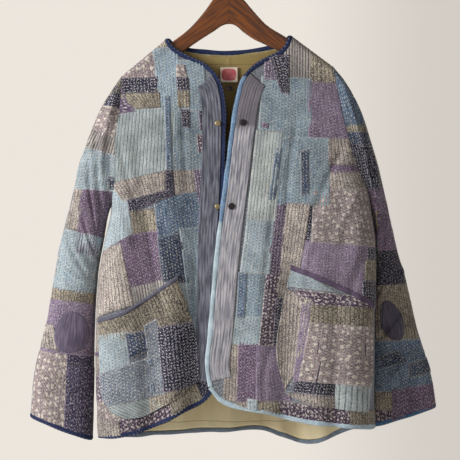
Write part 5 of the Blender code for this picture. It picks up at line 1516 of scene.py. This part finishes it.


# The lining
# Khaki cotton shows inside the back at the neck, with the yoke's seam down its middle, and inside
# the back's hem, where the light falls on its soft upright folds; there its colour carries painted light, and
# at the neck painted shade.
LINING_DEPTH = 0.0045          # from the back's outer face to the lining's
LINING_WALL, SEAM_HALF = 0.0008, 0.0022
UNDER_NECK, OVER_HEM = 0.011, 0.0094           # where the lining meets the bindings
# Across from and to, then the height of the lower or the upper edge
YOKE_FLAT = (-0.114, 0.132, -0.322)
HEM_FLAT = (-0.192, 0.216, -0.745)
LINING_FOLDS = (
    (-0.160, -0.660, -0.156, -0.900, 0.010, -0.0022), (-0.118, -0.640, -0.112, -0.900, 0.009, 0.0020),
    (-0.076, -0.660, -0.080, -0.900, 0.010, -0.0024), (-0.030, -0.640, -0.026, -0.900, 0.009, 0.0022),
    (0.014, -0.650, 0.012, -0.900, 0.008, -0.0020), (0.058, -0.640, 0.062, -0.900, 0.010, 0.0024),
    (0.104, -0.660, 0.100, -0.900, 0.009, -0.0022), (0.150, -0.640, 0.156, -0.900, 0.010, 0.0018),
)


def lining_cloth(name, colour, shade_colour, seam_height):
    """Plain khaki cotton, a little grimy, with a machine-stitched line."""
    made, tree, spot, axes = start_finish(name)
    grime = noise(tree, spot, 14.0, 5.0)
    weave = noise(tree, spot, 1500.0, 1.0)
    shade = blend(tree, spread_out(tree, grime, 0.35, 0.7), linear(colour), linear(shade_colour))
    beside = calc(tree, "ABSOLUTE", calc(tree, "SUBTRACT", axes[2], seam_height))
    dash = calc(tree, "FRACT", times(tree, axes[0], 1 / 0.0034))
    sewn = times(tree, spread_out(tree, beside, 0.0008, 0.0004),
                spread_out(tree, dash, 0.75, 0.65))
    shade = blend(tree, times(tree, sewn, 0.7), shade, linear((92, 84, 56)))
    raised = calc(tree, "SUBTRACT", times(tree, weave, 0.3), times(
        tree, spread_out(tree, beside, 0.0016, 0.0), 0.8))
    return end_finish(made, shade, raised, 0.6, 0.0006,
                      (("Roughness", 0.9), ("Specular IOR Level", 0.2)))


def lining_piece(name, place, columns, rows, material, centre_seam=0.0):
    surface = on_body(False)

    def inner(flat):
        points, normals = surface(flat)
        fold = crease_height(LINING_FOLDS, flat[..., 0], flat[..., 1])
        seam = centre_seam * np.exp(-((flat[..., 0] / SEAM_HALF) ** 2))
        return points - (LINING_DEPTH + np.abs(fold) + seam)[..., None] * normals, -normals

    shape = bmesh.new()
    bmesh.ops.create_grid(shape, x_segments=columns, y_segments=rows, size=0.5)
    spots = np.array([vert.co for vert in shape.verts])
    points, normals = inner(place(spots[:, 0] + 0.5, 0.5 - spots[:, 1]))
    for vert, point in zip(shape.verts, points):
        vert.co = point
    face_outwards(shape, points, normals)
    return cloth_piece(name, shape, [material], LINING_WALL)


def yoke_place(s, t):
    across = YOKE_FLAT[0] + (YOKE_FLAT[1] - YOKE_FLAT[0]) * s
    top = np.minimum(height_at(neck_line, across), shoulder_line(across) + SHOULDER_TOP) - UNDER_NECK
    return np.stack([across, top + (YOKE_FLAT[2] - top) * t], axis=-1)


def hem_place(s, t):
    across = HEM_FLAT[0] + (HEM_FLAT[1] - HEM_FLAT[0]) * s
    bottom = height_at(back_hem_line, across) + OVER_HEM
    return np.stack([across, HEM_FLAT[2] + (bottom - HEM_FLAT[2]) * t], axis=-1)


# The neck's lining is the khaki cotton darkened to olive by painted shade
yoke = lining_piece("yoke_lining", yoke_place, 100, 64,
                    lining_cloth("olive_lining_painted_shade", (146, 128, 84), (126, 108, 68), -0.1905), 0.0010)
# The hem's lining is the same khaki cotton brightened to pale gold by painted light
hem_facing = lining_piece("hem_lining", hem_place, 150, 46,
                          lining_cloth("golden_lining_painted_light", (250, 237, 200), (238, 222, 182), -0.842))
for piece, node, flat, cut in ((yoke, "lining_yoke", (0.25, 0.18), 0.036),
                               (hem_facing, "lining_hem", (0.43, 0.13), 0.046)):
    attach(piece, "root")
    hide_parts(node)


# The elbow patches
# An oval of lilac-grey cloth on the right elbow and a charcoal one on the left, each turned under
# and sewn down by hand, over the sleeves' own patches.
# Ring and share from the outer to the inner fold, half sizes, the sleeve's width and ring there,
# and how many rings the oval leans
ELBOWS = ((-1, "right", 10.2, 0.58, 0.031, 0.039, 0.0876, 0.045, -0.1, "lilac_grey_cloth"),
          (1, "left", 10.4, 0.52, 0.033, 0.041, 0.1231, 0.048, -0.62, "charcoal_cloth"))
ELBOW_LIFT = 0.0021
ELBOW_CLOTHS = {
    "right": band_cloth("washed_elbow_lilac", (112, 104, 124), (90, 82, 102)),
    "left": band_cloth("washed_elbow_charcoal", (92, 88, 102), (74, 70, 84)),
}
for side, word, ring, share, wide, tall, width, step, lean, slot_name in ELBOWS:
    def oval(s, t, ring=ring, share=share, wide=wide / width, tall=tall / step, lean=lean):
        a, b = 2 * s - 1, 2 * t - 1
        place = 1 - 2 * (share + a * np.sqrt(1 - b * b / 2) * wide)
        cosine = np.sign(place) * np.abs(place) ** (SLEEVE_SQUARENESS / 2)
        down = ring + b * np.sqrt(1 - a * a / 2) * tall + lean * a
        return np.stack([np.degrees(np.arccos(cosine)), down], axis=-1)
    patch = strip_cloth(f"elbow_{word}", oval, on_sleeve(side), ELBOW_LIFT, 40, 46,
                        ELBOW_CLOTHS[word], 830 + side, crinkle=0.0003)
    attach(patch, "root")
    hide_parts(f"elbow_patch_{word}")


# The label and the loop
# A small faded red label with a cream rim, left bare, is sewn inside the neck above a hanging loop
# of dark tape.
LABEL_FLAT, LABEL_HEIGHT = (0.032, 0.027), -0.2090
LOOP_FLAT, LOOP_HEIGHT = (0.013, 0.007), -0.2320


def small_cloth(name, colour, rim_colour, flat, height, rim_width):
    """Woven cloth with a rounded field of colour inside a plain rim."""
    made, tree, spot, axes = start_finish(name)
    weave = noise(tree, spot, 900.0, 2.0)
    wear = noise(tree, spot, 120.0, 4.0)
    off_x = times(tree, axes[0], 1 / (flat[0] / 2 - rim_width))
    off_z = times(tree, calc(tree, "SUBTRACT", axes[2], height), 1 / (flat[1] / 2 - rim_width))
    far = plus(tree, calc(tree, "POWER", calc(tree, "ABSOLUTE", off_x), 3.0),
               calc(tree, "POWER", calc(tree, "ABSOLUTE", off_z), 3.0))
    border = spread_out(tree, far, 0.9, 1.1)
    shade = blend(tree, border, linear(colour), linear(rim_colour))
    shade = blend(tree, spread_out(tree, wear, 0.45, 0.7, 0.0, 0.35), shade, linear((196, 160, 148)))
    return end_finish(made, shade, weave, 0.5, 0.0004, (("Roughness", 0.85),))


SMALL_CLOTHS = (
    ("woven_label", "neck_label", "label_cloth",
     small_cloth("faded_red", (176, 84, 92), (214, 198, 182), LABEL_FLAT, LABEL_HEIGHT, 0.0026)),
    ("loop_tape", "neck_loop", "navy_tape",
     small_cloth("dark_tape", (40, 42, 62), (52, 54, 76), LOOP_FLAT, LOOP_HEIGHT, 0.0006)),
)
for name, node, slot_name, material in SMALL_CLOTHS:
    low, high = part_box(node)
    shape = bmesh.new()
    bmesh.ops.create_grid(shape, x_segments=18, y_segments=14, size=0.5)
    for vert in shape.verts:
        x = (low.x + high.x) / 2 + vert.co.x * (high.x - low.x)
        z = (low.z + high.z) / 2 + vert.co.y * (high.z - low.z)
        curl = 0.0006 * math.cos(2.6 * vert.co.x) * math.cos(2.6 * vert.co.y)
        vert.co = (x, low.y - 0.0016 + curl, z)
    bmesh.ops.recalc_face_normals(shape, faces=shape.faces)
    piece = cloth_piece(name, shape, [material], LINING_WALL)
    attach(piece, "root")
    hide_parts(node)


# The snaps
# Pressed metal snaps: dark domed caps on the left band with their sockets inside the cloth, and
# brass studs on the right band.
SNAP_RADII = {"cap": 0.0060, "socket": 0.0050, "stud": 0.0050}
SNAP_HALF = 0.0013


def metal(name, colour, roughness):
    made, tree, spot, _ = start_finish(name)
    worn = noise(tree, spot, 400.0, 4.0)
    shade = blend(tree, spread_out(tree, worn, 0.4, 0.7), linear(colour),
                  linear(tuple(0.6 * value for value in colour)))
    dull = spread_out(tree, worn, 0.3, 0.7, roughness, roughness + 0.25)
    return end_finish(made, shade, None, 0.0, 0.0, (("Roughness", dull), ("Metallic", 1.0)))


SNAP_METALS = {"dark_snap": metal("dark_snap", (74, 70, 74), 0.35),
               "brass_snap": metal("brass_snap", (206, 186, 144), 0.28)}
for half, height in itertools.product(SNAP_RADII, ("upper", "lower")):
    node, radius = f"snap_{half}_{height}", SNAP_RADII[half]
    slot_name = "dark_snap" if half == "cap" else "brass_snap"
    low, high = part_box(node)
    centre = (low + high) / 2
    shape = bmesh.new()
    bmesh.ops.create_uvsphere(shape, u_segments=36, v_segments=18, radius=1.0)
    facing = 1.0 if half == "socket" else -1.0
    for vert in shape.verts:
        rim = math.hypot(vert.co.x, vert.co.y)
        bead = 0.18 * math.exp(-(((rim - 0.86) / 0.09) ** 2)) - 0.10 * math.exp(-(((rim - 0.66) / 0.08) ** 2))
        rise = (abs(vert.co.z) ** 0.8 + bead) * math.copysign(1.0, vert.co.z)
        vert.co = (centre.x + radius * vert.co.x, centre.y + facing * SNAP_HALF * rise,
                   centre.z + radius * vert.co.y)
    bmesh.ops.recalc_face_normals(shape, faces=shape.faces)
    snap = cloth_piece(f"{node}_dome", shape, [SNAP_METALS[slot_name]])
    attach(snap, "root")
    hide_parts(node)


# The hanger
# A shaped bow of glossy red-brown wood, glued from two halves along the middle of its neck, and a
# bent steel wire hook that hangs over a rail.
HANGER_BOW = (
    (-0.190, -0.2170, -0.2300), (-0.180, -0.2072, -0.2360), (-0.142, -0.1755, -0.2050),
    (-0.097, -0.1475, -0.1790), (-0.070, -0.1260, -0.1600), (-0.043, -0.0950, -0.1420),
    (-0.027, -0.0730, -0.1320), (-0.012, -0.0600, -0.1220), (0.0, -0.0576, -0.1190),
    (0.012, -0.0600, -0.1220), (0.025, -0.0730, -0.1330), (0.042, -0.0930, -0.1450),
    (0.065, -0.1180, -0.1560), (0.100, -0.1410, -0.1720), (0.140, -0.1660, -0.1970),
    (0.172, -0.1898, -0.2190), (0.184, -0.2000, -0.2130),
)
HANGER_HALF, HANGER_ROUNDING = 0.00525, 0.62
HANGER_STEPS, HANGER_SIDES = 150, 32
GRAIN_TILT = 0.75


def varnished_wood():
    made, tree, spot, axes = start_finish("varnished_wood")
    slope = times(tree, calc(tree, "ABSOLUTE", axes[0]), GRAIN_TILT)
    level = plus(tree, axes[2], slope)
    along = add_node(tree, "ShaderNodeCombineXYZ", ((0, axes[0]), (1, axes[1]), (2, level))).outputs[0]
    rings = noise(tree, along, 1.0, 4.0, (26.0, 60.0, 260.0))
    pores = noise(tree, along, 1.0, 2.0, (120.0, 600.0, 1400.0))
    shade = blend(tree, spread_out(tree, rings, 0.36, 0.66), linear((125, 69, 26)), linear((78, 40, 17)))
    shade = blend(tree, spread_out(tree, pores, 0.55, 0.7, 0.0, 0.5), shade, linear((52, 25, 12)))
    seam = spread_out(tree, calc(tree, "ABSOLUTE", axes[0]), 0.0007, 0.0002)
    shade = blend(tree, times(tree, seam, 0.7), shade, linear((45, 23, 11)))
    dull = spread_out(tree, rings, 0.3, 0.7, 0.26, 0.42)
    return end_finish(made, shade, pores, 0.2, 0.0003, (
        ("Roughness", dull), ("Coat Weight", 0.4), ("Coat Roughness", 0.16)))


bow_x = np.array([row[0] for row in HANGER_BOW])
fine_x = np.linspace(bow_x[0], bow_x[-1], HANGER_STEPS)
tops = smooth_table(fine_x, HANGER_BOW, 1)
bottoms = smooth_table(fine_x, HANGER_BOW, 2)
bow_turns = 2 * math.pi * (np.arange(HANGER_SIDES) + 0.5) / HANGER_SIDES
bow_level = np.sign(np.cos(bow_turns)) * np.abs(np.cos(bow_turns)) ** HANGER_ROUNDING
bow_upright = np.sign(np.sin(bow_turns)) * np.abs(np.sin(bow_turns)) ** HANGER_ROUNDING
bow_stations = np.stack([
    np.repeat(fine_x[:, None], HANGER_SIDES, axis=1),
    HANGER_HALF * bow_level[None, :] * np.ones((HANGER_STEPS, 1)),
    ((tops + bottoms) / 2)[:, None] + ((tops - bottoms) / 2)[:, None] * bow_upright[None, :]], axis=-1)
wood = tube("wooden_bow", bow_stations, varnished_wood())
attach(wood, "root")
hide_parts("hanger_wood")

HOOK_RADIUS, HOOK_WIRE = 0.0180, 0.0020
HOOK_START, HOOK_TURN = -50.0, 250.0
HOOK_STEPS, WIRE_SIDES = 110, 20
hook_path = [(0.0, -0.0585), (0.0, -0.0513), (0.0035, -HOOK_RADIUS * 2 - HOOK_WIRE - 0.001)]
for number in range(17):
    angle = math.radians(HOOK_START + HOOK_TURN * number / 16)
    hook_path.append(((HOOK_RADIUS + HOOK_WIRE) * math.cos(angle),
                      -HOOK_RADIUS + (HOOK_RADIUS + HOOK_WIRE) * math.sin(angle)))
hook_line = curve_through(hook_path, HOOK_STEPS)
hook_along = unit(np.gradient(hook_line, axis=0))
hook_side = np.stack([-hook_along[:, 1], np.zeros(HOOK_STEPS), hook_along[:, 0]], axis=-1)
hook_centre = np.stack([hook_line[:, 0], np.zeros(HOOK_STEPS), hook_line[:, 1]], axis=-1)
wire_turns = 2 * math.pi * np.arange(WIRE_SIDES) / WIRE_SIDES
hook_stations = (hook_centre[:, None, :]
                 + HOOK_WIRE * np.cos(wire_turns)[None, :, None] * hook_side[:, None, :]
                 + HOOK_WIRE * np.sin(wire_turns)[None, :, None] * np.array([0.0, 1.0, 0.0]))
hook = tube("wire_hook", hook_stations, metal("hook_steel", (186, 184, 180), 0.2))
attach(hook, "root")
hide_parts("hanger_hook")
